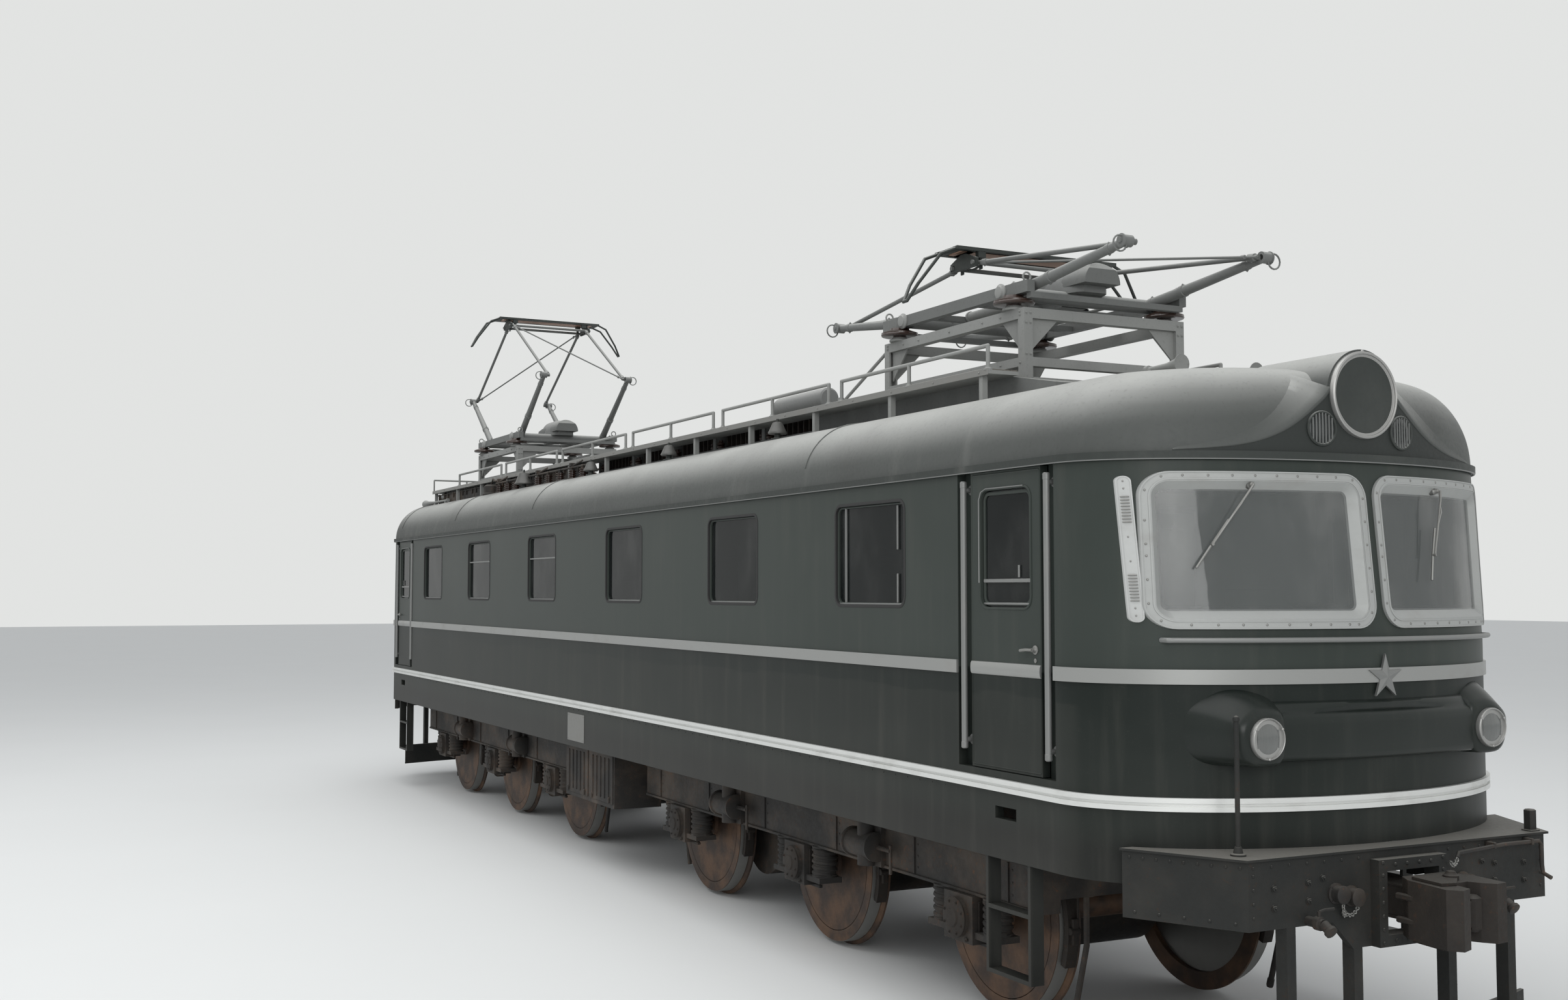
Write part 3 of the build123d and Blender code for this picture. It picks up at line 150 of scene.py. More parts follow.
class Graph:
    """The node tree of one material, or of the world."""

    def __init__(self, owner: Union[bpy.types.Material, bpy.types.World]) -> None:
        """Empty the owner's node tree."""
        self.owner = owner
        owner.use_nodes = True
        self.tree = owner.node_tree
        self.tree.nodes.clear()

    @classmethod
    def of(cls, name: str) -> "Graph":
        """The graph of a new material."""
        return cls(bpy.data.materials.new(name))

    def node(self, kind: str, settings: Values = None, sockets: Values = None) -> bpy.types.Node:
        """Add any node.

        Args:
            kind: the node's type name.
            settings: its properties, set first.
            sockets: its inputs by name or number, as values, signals or output sockets.

        Returns:
            The new node.
        """
        made = self.tree.nodes.new(kind)
        for key, value in (settings or {}).items():
            setattr(made, key, value)
        for key, value in (sockets or {}).items():
            target = made.inputs[key]
            if isinstance(value, Signal):
                self.tree.links.new(value.socket, target)
            elif isinstance(value, bpy.types.NodeSocket):
                self.tree.links.new(value, target)
            else:
                target.default_value = value
        return made

    def signal(self, kind: str, settings: Values, sockets: Mapping, output: Union[int, str] = 0) -> Signal:
        """Add a node and wrap one of its outputs as a number."""
        return Signal(self, self.node(kind, settings, sockets).outputs[output])

    def place(self) -> bpy.types.NodeSocket:
        """The point on the surface, in the object's own metres."""
        return self.node("ShaderNodeTexCoord").outputs["Object"]

    def axes(self) -> tuple[Signal, Signal, Signal]:
        """The x, y and z of the point on the surface."""
        split = self.node("ShaderNodeSeparateXYZ", None, {0: self.place()})
        return tuple(Signal(self, split.outputs[i]) for i in range(3))

    def facing(self) -> tuple[Signal, Signal, Signal]:
        """The x, y and z of the direction the surface faces."""
        normal = self.node("ShaderNodeNewGeometry").outputs["Normal"]
        split = self.node("ShaderNodeSeparateXYZ", None, {0: normal})
        return tuple(Signal(self, split.outputs[i]) for i in range(3))

    def stretched(self, scale: Point) -> bpy.types.NodeSocket:
        """The point on the surface with each axis scaled, for streaks and grain."""
        settings = {"operation": "MULTIPLY"}
        return self.node("ShaderNodeVectorMath", settings, {0: self.place(), 1: scale}).outputs[0]

    def noise(self, scale: float, stretch: Point = (1, 1, 1), detail: float = 4) -> Signal:
        """Soft noise with about `scale` lumps to the metre."""
        sockets = {"Vector": self.stretched(stretch), "Scale": scale, "Detail": detail, "Roughness": 0.55}
        return self.signal("ShaderNodeTexNoise", {"noise_dimensions": "3D"}, sockets)

    def blend(self, factor: Union[Signal, Number], low: object, high: object) -> bpy.types.NodeSocket:
        """A colour between two others.

        Args:
            factor: how far from the first to the second.
            low: the first colour, as a value or a socket.
            high: the second colour.

        Returns:
            The mixed colour's socket.
        """
        made = self.node("ShaderNodeMix", {"data_type": "RGBA"}, {0: factor})
        for socket, value in ((made.inputs[6], low), (made.inputs[7], high)):
            if isinstance(value, bpy.types.NodeSocket):
                self.tree.links.new(value, socket)
            else:
                socket.default_value = (*value[:3], 1)
        return made.outputs[2]

    def bump(self, height: Signal, strength: float, distance: float = 0.01) -> bpy.types.NodeSocket:
        """Normals bumped by a height."""
        sockets = {"Height": height, "Strength": strength, "Distance": distance}
        return self.node("ShaderNodeBump", None, sockets).outputs["Normal"]

    def surface(self, **sockets: object) -> bpy.types.Material:
        """Close the material with a Principled shader.

        Args:
            sockets: its inputs, with spaces written as underscores.

        Returns:
            The finished material.
        """
        named = {key.replace("_", " "): value for key, value in sockets.items()}
        for key in ("Base Color", "Emission Color"):
            if isinstance(named.get(key), tuple):
                named[key] = (*named[key][:3], 1)
        shader = self.node("ShaderNodeBsdfPrincipled", None, named)
        output = self.node("ShaderNodeOutputMaterial")
        self.tree.links.new(shader.outputs[0], output.inputs["Surface"])
        return self.owner


# Finishes


@dataclass(frozen=True)
class BodyPaint:
    """Gloss paint on large panels: two greens, rain streaks, road dust that thickens downwards, waves."""

    name: str
    colour: Point
    lower: Point
    skirt: Point
    parting: float = 2.262
    skirt_top: float = 1.3
    dust: Point = (0.17, 0.16, 0.14)
    roughness: float = 0.34
    dust_low: float = 0.9
    dust_high: float = 2.2
    streaks: float = 0.09
    sheen: float = 0.15
    waves: float = 0.05

    def material(self) -> bpy.types.Material:
        """Build the finish."""
        g = Graph.of(self.name)
        _, y, z = g.axes()
        rain = g.noise(5, (1.6, 1.6, 0.16), 5).ramp(0.45, 0.8)
        cloud = g.noise(0.8, (1, 1, 1.6), 3)
        speck = g.noise(60, detail=2).ramp(0.6, 0.78)
        low = 1 - z.ramp(self.dust_low, self.dust_high)
        ragged = g.noise(2.6, (0.45, 1, 3), 6)
        tide = (1 - (z + ragged * 0.2).ramp(2.2, 2.225)) * y.absolute().ramp(1.47, 1.49)
        veil = (rain * self.streaks + low * cloud * 0.13 + speck * 0.03 + tide * 0.045).smaller(0.8)
        under = g.blend(z.ramp(self.skirt_top, self.skirt_top + 0.2), self.skirt, self.lower)
        paint = g.blend(z.ramp(self.parting, self.parting + 0.004), under, self.colour)
        shade = g.blend(cloud.ramp(0.35, 0.75) * 0.05, paint, (0.14, 0.15, 0.14))
        colour = g.blend(veil, shade, self.dust)
        rough = veil * 0.35 + cloud * 0.12 + self.roughness
        sheet = g.noise(1.1, (1, 1, 0.7), 1)
        normal = g.bump(sheet + speck * 0.01, self.waves, 0.05)
        return g.surface(Base_Color=colour, Roughness=rough, Normal=normal, Specular_IOR_Level=self.sheen)


@dataclass(frozen=True)
class RoofPaint:
    """Matt roof paint: dust and painted sky light where it faces up, soot and painted shade along the middle,
    upright ends darker as painted shade.
    """

    name: str
    colour: Point
    soot: Point = (0.035, 0.034, 0.032)
    worn: Point = (0.3, 0.3, 0.28)
    dust: Point = (0.4, 0.405, 0.385)
    upright: float = 0
    band: float = 0

    def material(self) -> bpy.types.Material:
        """Build the finish."""
        g = Graph.of(self.name)
        x, y, _ = g.axes()
        ahead, _, up = g.facing()
        runs = g.noise(3.2, (1.5, 0.25, 0.25), 5)
        cloud = g.noise(0.9, detail=4)
        grit = g.noise(45, detail=3)
        # Painted sky light and dust: faces that look up are blended towards the pale dust colour, which
        # stands partly for real dust and partly for sky light on the tops.
        dusty = g.blend(up.ramp(0.2, 0.95) * (cloud * 0.6 + 0.4), self.colour, self.dust)
        pale = g.blend(runs.ramp(0.5, 0.8) * 0.14, dusty, self.worn)
        # Soot along the middle of the roof towards the rear end; the same band is also painted shade for the
        # dark zone under the walkways.
        inner = 1 - (y.absolute() + cloud * 0.35).ramp(1.3, 1.5)
        soot_and_walkway_shade = inner * (1 - (x + cloud).ramp(3.6, 5.8)) * self.band
        stains_and_shade = (cloud.ramp(0.5, 0.8) * 0.35 + grit.ramp(0.55, 0.8) * 0.18).larger(soot_and_walkway_shade)
        colour = g.blend(stains_and_shade, pale, self.soot)
        # Painted shade: faces that look ahead or back keep the plain roof colour, without the dust, painted
        # sky light and stains, so the upright ends stay darker.
        front = ahead.absolute().ramp(0.7, 0.9) * (1 - up.ramp(0.1, 0.3)) * self.upright
        colour = g.blend(front, colour, self.colour)
        rough = grit * 0.25 + 0.45
        normal = g.bump(grit * 0.2 + cloud, 0.12, 0.01)
        return g.surface(Base_Color=colour, Roughness=rough, Normal=normal, Specular_IOR_Level=0.35)


@dataclass(frozen=True)
class BrightMetal:
    """Rolled light metal: bright, lightly brushed along its length and dulled in patches."""

    name: str
    colour: Point
    roughness: float = 0.24
    grain: Point = (0.4, 14, 60)
    tarnish: Point = (0.3, 0.29, 0.27)
    metal: float = 0.9
    upper: Optional[Point] = None
    relief: float = 0.05

    def material(self) -> bpy.types.Material:
        """Build the finish."""
        g = Graph.of(self.name)
        brushed = g.noise(9, self.grain, 3)
        patch = g.noise(2.6, (1, 1, 2), 4).ramp(0.5, 0.85)
        _, _, z = g.axes()
        ground = self.colour if self.upper is None else g.blend(z.ramp(1.9, 2), self.colour, self.upper)
        colour = g.blend(patch * 0.45 + brushed * 0.12, ground, self.tarnish)
        rough = brushed * 0.14 + patch * 0.22 + self.roughness
        normal = g.bump(brushed, self.relief, 0.002)
        return g.surface(Base_Color=colour, Roughness=rough, Metallic=self.metal, Normal=normal)


@dataclass(frozen=True)
class Grime:
    """Underframe black under brake dust, rust and oil."""

    name: str
    colour: Point = (0.022, 0.021, 0.02)
    dust: Point = (0.11, 0.085, 0.065)
    rust: Point = (0.14, 0.06, 0.03)
    metal: float = 0
    sheen: float = 0.28
    top: float = 0.3

    def material(self) -> bpy.types.Material:
        """Build the finish."""
        g = Graph.of(self.name)
        cloud = g.noise(2.4, detail=5)
        grit = g.noise(38, detail=4)
        dusty = g.blend(cloud.ramp(0.38, 0.78) * 0.75, self.colour, self.dust)
        rusty = g.blend(grit.ramp(0.58, 0.72) * cloud.ramp(0.35, 0.65) * 0.6, dusty, self.rust)
        _, _, up = g.facing()
        colour = g.blend(up.ramp(0.5, 0.95) * self.top, rusty, (0.16, 0.155, 0.14))
        rough = grit * 0.3 + 0.5
        normal = g.bump(grit, 0.35, 0.004)
        sockets = {"Specular_IOR_Level": self.sheen, "Metallic": self.metal}
        return g.surface(Base_Color=colour, Roughness=rough, Normal=normal, **sockets)


@dataclass(frozen=True)
class WheelSteel:
    """Rolled steel wheels, rusty brown."""

    name: str

    def material(self) -> bpy.types.Material:
        """Build the finish."""
        g = Graph.of(self.name)
        cloud = g.noise(5, detail=5)
        grit = g.noise(50, detail=3)
        colour = g.blend(cloud.ramp(0.35, 0.7), (0.05, 0.035, 0.028), (0.13, 0.075, 0.045))
        return g.surface(
            Base_Color=colour,
            Roughness=grit * 0.25 + 0.5,
            Metallic=0.35,
            Normal=g.bump(grit + cloud, 0.25, 0.003),
        )


@dataclass(frozen=True)
class Glazing:
    """Window glass with a film of dust."""

    name: str
    tint: Point = (0.62, 0.68, 0.68)
    alpha: float = 0.34
    dust: Point = (0.26, 0.26, 0.245)
    sheen: float = 0.5

    def material(self) -> bpy.types.Material:
        """Build the finish."""
        g = Graph.of(self.name)
        film = g.noise(2.2, (1, 1, 0.6), 5).ramp(0.42, 0.8)
        colour = g.blend(film * 0.7, self.tint, self.dust)
        rough, alpha = film * 0.16 + 0.03, film * 0.22 + self.alpha
        made = g.surface(Base_Color=colour, Roughness=rough, Alpha=alpha, Specular_IOR_Level=self.sheen)
        made.blend_method = "BLEND"
        return made


@dataclass(frozen=True)
class Plain:
    """One colour with fine variation, for rubber, porcelain, leather, wood and interior paint."""

    name: str
    colour: Point
    roughness: float = 0.5
    metal: float = 0
    scale: float = 20
    stretch: Point = (1, 1, 1)
    depth: float = 0.15
    spread: float = 0.25
    coat: float = 0

    def material(self) -> bpy.types.Material:
        """Build the finish."""
        g = Graph.of(self.name)
        grain = g.noise(self.scale, self.stretch, 5)
        patch = g.noise(1.7, detail=3)
        dark = [c * (1 - self.spread) for c in self.colour]
        light = [min(1, c * (1 + self.spread)) for c in self.colour]
        colour = g.blend(grain * 0.6 + patch * 0.4, dark, light)
        rough = (grain * 0.2 + patch * 0.1 + self.roughness - 0.15).larger(0.02)
        normal = g.bump(grain, self.depth, 0.003)
        return g.surface(
            Base_Color=colour, Roughness=rough, Metallic=self.metal, Coat_Weight=self.coat, Normal=normal
        )


GREEN = (0.038, 0.046, 0.041)
DEEP_GREEN = (0.013, 0.017, 0.015)
BLACK_GREEN = (0.008, 0.0095, 0.009)
MATERIALS: dict[str, bpy.types.Material] = {}


class Coat(Enum):
    """Every finish on the locomotive."""

    BODY = BodyPaint("body_paint", GREEN, lower=DEEP_GREEN, skirt=BLACK_GREEN)
    FAIRING = BodyPaint("fairing_paint", DEEP_GREEN, DEEP_GREEN, BLACK_GREEN, waves=0.02, sheen=0.25,
                        roughness=0.24, streaks=0.04)
    # The roof's pale dust colour is partly painted sky light on upward faces; upright=0.6 keeps the ends
    # darker as painted shade, band=0.6 adds soot and painted shade along the middle.
    ROOF = RoofPaint("roof_paint", (0.066, 0.071, 0.067), dust=(0.52, 0.525, 0.5), upright=0.6, band=0.6)
    GUTTER = RoofPaint("gutter_paint", (0.03, 0.035, 0.032))
    ROOF_STEEL = RoofPaint("roof_steel", (0.24, 0.245, 0.235), worn=(0.34, 0.34, 0.33))
    MONITOR = RoofPaint("monitor_paint", (0.13, 0.135, 0.13))
    FOREHEAD = RoofPaint(
        "forehead_paint", (0.022, 0.026, 0.024), worn=(0.06, 0.06, 0.058), dust=(0.07, 0.072, 0.07)
    )
    ARM = RoofPaint("arm_paint", (0.15, 0.155, 0.15), worn=(0.3, 0.3, 0.29))
    COVER = RoofPaint("cover_paint", (0.17, 0.175, 0.17), dust=(0.4, 0.4, 0.385))
    BOARD = Plain("walkway_boards", (0.115, 0.105, 0.09), 0.75, scale=26, stretch=(0.08, 1, 1), depth=0.4)
    MOULDING = BrightMetal("bright_moulding", (0.74, 0.75, 0.73), 0.3, upper=(0.32, 0.325, 0.315), metal=0.5)
    CHROME = BrightMetal("lamp_chrome", (0.36, 0.36, 0.35), 0.36, grain=(3, 3, 3), metal=0.7, relief=0)
    STAR = BrightMetal("star_metal", (0.2, 0.205, 0.2), 0.35, grain=(6, 6, 6), metal=0.5)
    RAIL = BrightMetal("handrail_metal", (0.21, 0.215, 0.21), 0.4, grain=(6, 6, 6), metal=0.4)
    STRIP = BrightMetal("air_strip_metal", (0.48, 0.49, 0.48), 0.5, grain=(2, 6, 6), metal=0.2)
    FRAME = BrightMetal("window_frame_metal", (0.37, 0.38, 0.37), 0.5, grain=(2, 6, 6), metal=0.2)
    DULL_METAL = BrightMetal("dull_metal", (0.26, 0.26, 0.25), 0.45, grain=(3, 3, 3))
    COPPER = BrightMetal("contact_copper", (0.42, 0.26, 0.19), 0.4, tarnish=(0.08, 0.07, 0.06))
    GRIME = Grime("underframe_black")
    BEAM = Grime(
        "beam_black", (0.019, 0.02, 0.019), (0.042, 0.039, 0.034), (0.05, 0.03, 0.02), sheen=0.25, top=1
    )
    RUSTY = Grime("rusty_casting", (0.022, 0.019, 0.017), (0.05, 0.041, 0.033), (0.08, 0.04, 0.024), 0.2)
    WHEEL = WheelSteel("wheel_steel")
    WINDSCREEN = Glazing("windscreen_glass", (0.13, 0.14, 0.137), 0.52, (0.26, 0.26, 0.25))
    WINDOW = Glazing("side_window_glass", (0.01, 0.012, 0.012), 0.86, (0.03, 0.031, 0.03), 0.12)
    LENS = Plain("lamp_lens", (0.11, 0.115, 0.11), 0.25, scale=70, stretch=(1, 1, 0.05), depth=0.5, coat=0.8)
    DARK_LENS = Plain(
        "main_lamp_lens", (0.06, 0.065, 0.065), 0.1, scale=60, stretch=(1, 1, 0.05), depth=0.3, coat=1
    )
    PORCELAIN = Plain("brown_porcelain", (0.035, 0.019, 0.014), 0.3, scale=9, depth=0.05, coat=0.25)
    BELL = Plain("grey_porcelain", (0.075, 0.075, 0.07), 0.4, scale=9, depth=0.05)
    RUBBER = Plain("rubber", (0.018, 0.018, 0.018), 0.7, scale=60)
    LEATHER = Plain("seat_leather", (0.06, 0.035, 0.02), 0.5, scale=90, depth=0.5)
    CAB = Plain("cab_paint", (0.3, 0.31, 0.25), 0.45, scale=7)
    DESK = Plain("desk_paint", (0.11, 0.12, 0.115), 0.4, scale=50, depth=0.3)
    DIAL = Plain("dial_white", (0.7, 0.69, 0.64), 0.3, scale=12, depth=0)
    KNOB = Plain("black_knobs", (0.02, 0.02, 0.02), 0.25, scale=30, coat=0.5)
    MACHINE = Plain("cabinet_paint", (0.2, 0.21, 0.2), 0.5, scale=8)
    CABLE = Plain("cable_sheath", (0.03, 0.028, 0.026), 0.65, scale=80)

    @property
    def material(self) -> bpy.types.Material:
        """The finish's material, built the first time it is asked for."""
        if self.name not in MATERIALS:
            MATERIALS[self.name] = self.value.material()
        return MATERIALS[self.name]


# Mesh building

RAIL_HEAD = 28
AHEAD, OUTWARD, UP, DOWN = (1, 0, 0), (0, 1, 0), (0, 0, 1), (0, 0, -1)


def vec(x: float, y: float, z: float) -> Vector:
    """A point or a direction."""
    return Vector((x, y, z))


def unit(vector: Vector) -> Vector:
    """The vector at length 1."""
    return vector.normalized()


def square_to(direction: Vector) -> tuple[Vector, Vector]:
    """Two directions square to a third and to each other."""
    across = vec(0, 0, 1) if abs(direction.z) < 0.9 else vec(0, 1, 0)
    first = direction.cross(across).normalized()
    return first, direction.cross(first).normalized()


def circle(centre: Vector, first: Vector, second: Vector, radius: float, sides: int) -> list[Vector]:
    """Points round a circle that lies along two directions."""
    turn = 2 * pi / sides
    return [centre + (first * cos(i * turn) + second * sin(i * turn)) * radius for i in range(sides)]


def rounded(half_width: float, half_height: float, corner: float, steps: int = 5) -> list[Spot]:
    """Points round a rectangle with rounded corners."""
    points = []
    for number, (across, up) in enumerate(((1, 1), (-1, 1), (-1, -1), (1, -1))):
        for i in range(steps + 1):
            angle = pi / 2 * (number + i / steps)
            u = across * (half_width - corner) + corner * cos(angle)
            v = up * (half_height - corner) + corner * sin(angle)
            points.append((u, v))
    return points


def divided(outline: Sequence[Spot], length: float) -> list[Spot]:
    """A closed outline with its long sides cut to about a length."""
    dense = []
    for (u0, v0), (u1, v1) in zip(outline, outline[1:] + outline[:1]):
        cuts = max(1, int(hypot(u1 - u0, v1 - v0) / length))
        dense += [(u0 + (u1 - u0) * i / cuts, v0 + (v1 - v0) * i / cuts) for i in range(cuts)]
    return dense


class Form:
    """A mesh in the making. It is given in millimetres above the rail head."""

    def __init__(self) -> None:
        """Start with nothing."""
        self.points: list[Vector] = []
        self.faces: list[tuple[int, ...]] = []

    def add(self, points: Iterable[Point], faces: Iterable[Sequence[int]]) -> "Form":
        """Add points, and faces that count from the first of them."""
        start = len(self.points)
        self.points.extend(Vector(point) for point in points)
        self.faces.extend(tuple(i + start for i in face) for face in faces)
        return self

    def loft(self, loops: Sequence[Sequence[Point]], closed: bool = False, caps: bool = True) -> "Form":
        """Join loops of the same number of points.

        Args:
            loops: the loops in order.
            closed: joins the last to the first.
            caps: closes both ends, where the loops aren't closed.

        Returns:
            This form.
        """
        count, size = len(loops), len(loops[0])
        faces: list[tuple[int, ...]] = []
        for row in range(count if closed else count - 1):
            a, b = row * size, (row + 1) % count * size
            faces += [(a + i, a + (i + 1) % size, b + (i + 1) % size, b + i) for i in range(size)]
        if caps and not closed:
            faces.append(tuple(range(size)))
            faces.append(tuple(range((count - 1) * size, count * size)))
        return self.add([point for loop in loops for point in loop], faces)

    def box(self, x: Point, y: Point, z: Point, bevel: float = 3) -> "Form":
        """A block between pairs of x, y and z, with all its edges bevelled."""
        low = vec(min(x), min(y), min(z))
        high = vec(max(x), max(y), max(z))
        cut = min([bevel] + [0.45 * (high - low)[i] for i in range(3)])
        inset = [(cut, low.z), (0, low.z + cut), (0, high.z - cut), (cut, high.z)]
        loops = []
        for step, level in inset:
            a, b = low.x + step, high.x - step
            c, d = low.y + step, high.y - step
            loop = [(a, c + cut), (a + cut, c), (b - cut, c), (b, c + cut)]
            loop += [(b, d - cut), (b - cut, d), (a + cut, d), (a, d - cut)]
            loops.append([vec(u, v, level) for u, v in loop])
        return self.loft(loops)

    def rod(
        self, start: Point, end: Point, radius: float, tip: Optional[float] = None, sides: int = 14
    ) -> "Form":
        """A round bar, or a taper where a tip radius is given."""
        a, b = Vector(start), Vector(end)
        first, second = square_to(unit(b - a))
        return self.loft(
            [circle(a, first, second, radius, sides), circle(b, first, second, tip or radius, sides)]
        )

    def tube(self, path: Sequence[Point], radius: float, sides: int = 8, closed: bool = False) -> "Form":
        """A round bar bent along a path."""
        points = [Vector(point) for point in path]
        count = len(points)
        loops = []
        first, _ = square_to(unit(points[1] - points[0]))
        for i, point in enumerate(points):
            before = points[i - 1] if i or closed else point
            after = points[(i + 1) % count] if i < count - 1 or closed else point
            along = unit(after - before)
            first = unit(first - along * first.dot(along))
            loops.append(circle(point, first, along.cross(first), radius, sides))
        return self.loft(loops, closed)

    def turned(self, foot: Point, axis: Point, profile: Sequence[Spot], sides: int = 20) -> "Form":
        """A turned shape: pairs of distance along the axis from its foot and radius there."""
        along = unit(Vector(axis))
        first, second = square_to(along)
        base = Vector(foot)
        return self.loft(
            [circle(base + along * step, first, second, max(r, 0.3), sides) for step, r in profile]
        )

    def block(self, centre: Point, size: Point, bevel: float = 3) -> "Form":
        """A bevelled block of a size about its centre."""
        return self.box(*((c - s / 2, c + s / 2) for c, s in zip(centre, size)), bevel)

    def hoop(
        self, centre: Point, radius: float, wire: float, count: int, sides: int = 8, flat: bool = False
    ) -> "Form":
        """A round bar bent to a ring of some points, upright across the locomotive or flat."""
        turns = [2 * pi * i / count for i in range(count)]
        ring = [(cos(turn), sin(turn), 0) if flat else (0, cos(turn), sin(turn)) for turn in turns]
        return self.tube([Vector(centre) + Vector(step) * radius for step in ring], wire, sides, closed=True)

    def bolt_ring(self, centre: Point, axis: Point, radius: float, count: int, size: float) -> "Form":
        """Bolts round a circle square to an axis."""
        first, second = square_to(unit(Vector(axis)))
        for i in range(count):
            turn = 2 * pi * (i + 0.5) / count
            self.bolt(Vector(centre) + (first * cos(turn) + second * sin(turn)) * radius, axis, size)
        return self

    def stud(self, place: Point, axis: Point, radius: float, height: float, sides: int = 8) -> "Form":
        """A domed rivet or screw head."""
        profile = [(-1, radius), (height * 0.45, radius * 0.94)]
        profile += [(height * 0.85, radius * 0.6), (height, radius * 0.15)]
        return self.turned(place, axis, profile, sides)

    def bolt(self, place: Point, axis: Point, radius: float) -> "Form":
        """A hexagon head on its washer, with the end of its thread."""
        self.turned(place, axis, [(-1, radius * 1.35), (radius * 0.2, radius * 1.35)], 14)
        head = [(0, radius), (radius * 0.75, radius), (radius * 0.9, radius * 0.8)]
        self.turned(place, axis, head, 6)
        return self.turned(place, axis, [(0, radius * 0.5), (radius * 1.4, radius * 0.45)], 8)

    def prism(self, outline: Sequence[Spot], axis: str, low: float, high: float) -> "Form":
        """An outline drawn square to an axis, made solid between two places on it."""
        order = {
            "x": lambda a, u, v: (a, u, v),
            "y": lambda a, u, v: (u, a, v),
            "z": lambda a, u, v: (u, v, a),
        }[axis]
        return self.loft([[Vector(order(at, u, v)) for u, v in outline] for at in (low, high)])

    def coil(
        self, foot: Point, height: float, radius: float, wire: float, turns: float, steps: int = 18
    ) -> "Form":
        """An upright helical spring."""
        count = int(turns * steps)
        path = []
        for i in range(count + 1):
            angle = 2 * pi * i / steps
            offset = vec(cos(angle) * radius, sin(angle) * radius, height * i / count)
            path.append(Vector(foot) + offset)
        return self.tube(path, wire, 6)

    def chain(self, start: Point, end: Point, sag: float, wire: float, links: int) -> "Form":
        """A hanging chain of oval links, each turned from the next."""
        a, b = Vector(start), Vector(end)
        places = []
        for i in range(links + 1):
            share = i / links
            drop = sag * 4 * share * (1 - share)
            places.append(a.lerp(b, share) - vec(0, 0, drop))
        for i, (one, other) in enumerate(zip(places, places[1:])):
            along = unit(other - one)
            first, second = square_to(along)
            flat = first if i % 2 else second
            middle, reach = (one + other) / 2, (other - one).length * 0.62
            ring = []
            for k in range(12):
                angle = 2 * pi * k / 12
                ring.append(middle + along * cos(angle) * reach + flat * sin(angle) * wire * 2.2)
            self.tube(ring, wire, 6, closed=True)
        return self

    def join(self, other: "Form", matrix: Optional[Matrix] = None) -> "Form":
        """Add another form, moved by a matrix where one is given."""
        moved = [matrix @ point for point in other.points] if matrix else other.points
        return self.add(moved, other.faces)

    def copied(self, factors: Iterable[tuple[int, int]]) -> "Form":
        """Copies of all this about the middle, one for every pair of factors of x and y."""
        made = Form()
        for x, y in factors:
            made.join(self, Matrix.Diagonal((x, y, 1, 1)))
        return made

    def piece(self, name: str, coat: Coat, body: str = "root", sharp: float = 35) -> bpy.types.Object:
        """Make the object.

        Args:
            name: its name.
            coat: its finish.
            body: the body that it rides on.
            sharp: the angle in degrees above which an edge stays sharp.

        Returns:
            The new object.
        """
        mesh = bpy.data.meshes.new(name)
        lift = vec(0, 0, RAIL_HEAD)
        mesh.from_pydata([(point + lift) / 1000 for point in self.points], [], self.faces)
        work = bmesh.new()
        work.from_mesh(mesh)
        bmesh.ops.recalc_face_normals(work, faces=work.faces)
        for face in work.faces:
            face.smooth = True
        limit = radians(sharp)
        for edge in work.edges:
            if len(edge.link_faces) == 2 and edge.calc_face_angle(0) > limit:
                edge.smooth = False
        work.to_mesh(mesh)
        work.free()
        mesh.materials.append(coat.material)
        made = bpy.data.objects.new(name, mesh)
        bpy.context.scene.collection.objects.link(made)
        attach(made, body)
        log.info("%s: %d faces on %s", name, len(mesh.polygons), body)
        return made


def dress(coat: Coat, *nodes: str) -> None:
    """Give the solid model's own pieces a finish."""
    for node in nodes:
        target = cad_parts[node]
        if not target.material_slots:
            target.data.materials.append(None)
        for place in target.material_slots:
            place.link = "OBJECT"
            place.material = coat.material
        log.info("%s: %s", node, coat.name)


# The shape of the ends and the roof, as in the solid model


@dataclass(frozen=True)
class Nose:
    """The rounded end: half an ellipse in plan, leaning back above the rake."""

    start: float = 7906
    half_width: float = 1500
    depth: float = 885
    gutter_depth: float = 784
    rake: float = 2400
    gutter: float = 3400

    def depth_at(self, z: float) -> float:
        """How far the end stands out at a height."""
        lean = (self.depth - self.gutter_depth) / (self.gutter - self.rake)
        return self.depth - max(0, z - self.rake) * lean

    def at(self, y: float, z: float, proud: float = 0) -> Vector:
        """The point on the end at a distance from the middle, standing proud by a little."""
        half = self.half_width + proud
        share = sqrt(max(0, 1 - (y / half) ** 2))
        return vec(self.start + (self.depth_at(z) + proud) * share, y, z)

    def out(self, y: float, z: float) -> Vector:
        """The direction square to the end at a point."""
        depth = self.depth_at(z)
        share = sqrt(max(0, 1 - (y / self.half_width) ** 2))
        slope = 0.1 if z > self.rake else 0
        return unit(vec(share / depth, y / self.half_width**2, slope * share / depth))


@dataclass(frozen=True)
class Roof:
    """The roof's outline across: a flat arc between two rounded shoulders."""

    half_width: float = 1500
    shoulder: float = 480
    spring: float = 3440
    crown: float = 3990

    def height(self, y: float) -> float:
        """The roof's height at a distance from the middle."""
        centre, rise = self.half_width - self.shoulder, self.crown - self.spring
        radius = (rise**2 + centre**2 - self.shoulder**2) / (2 * (rise - self.shoulder))
        middle = self.crown - radius
        if abs(y) <= centre * radius / hypot(centre, self.spring - middle):
            return middle + sqrt(radius**2 - y**2)
        return self.spring + sqrt(max(0, self.shoulder**2 - (abs(y) - centre) ** 2))


NOSE, ROOF = Nose(), Roof()


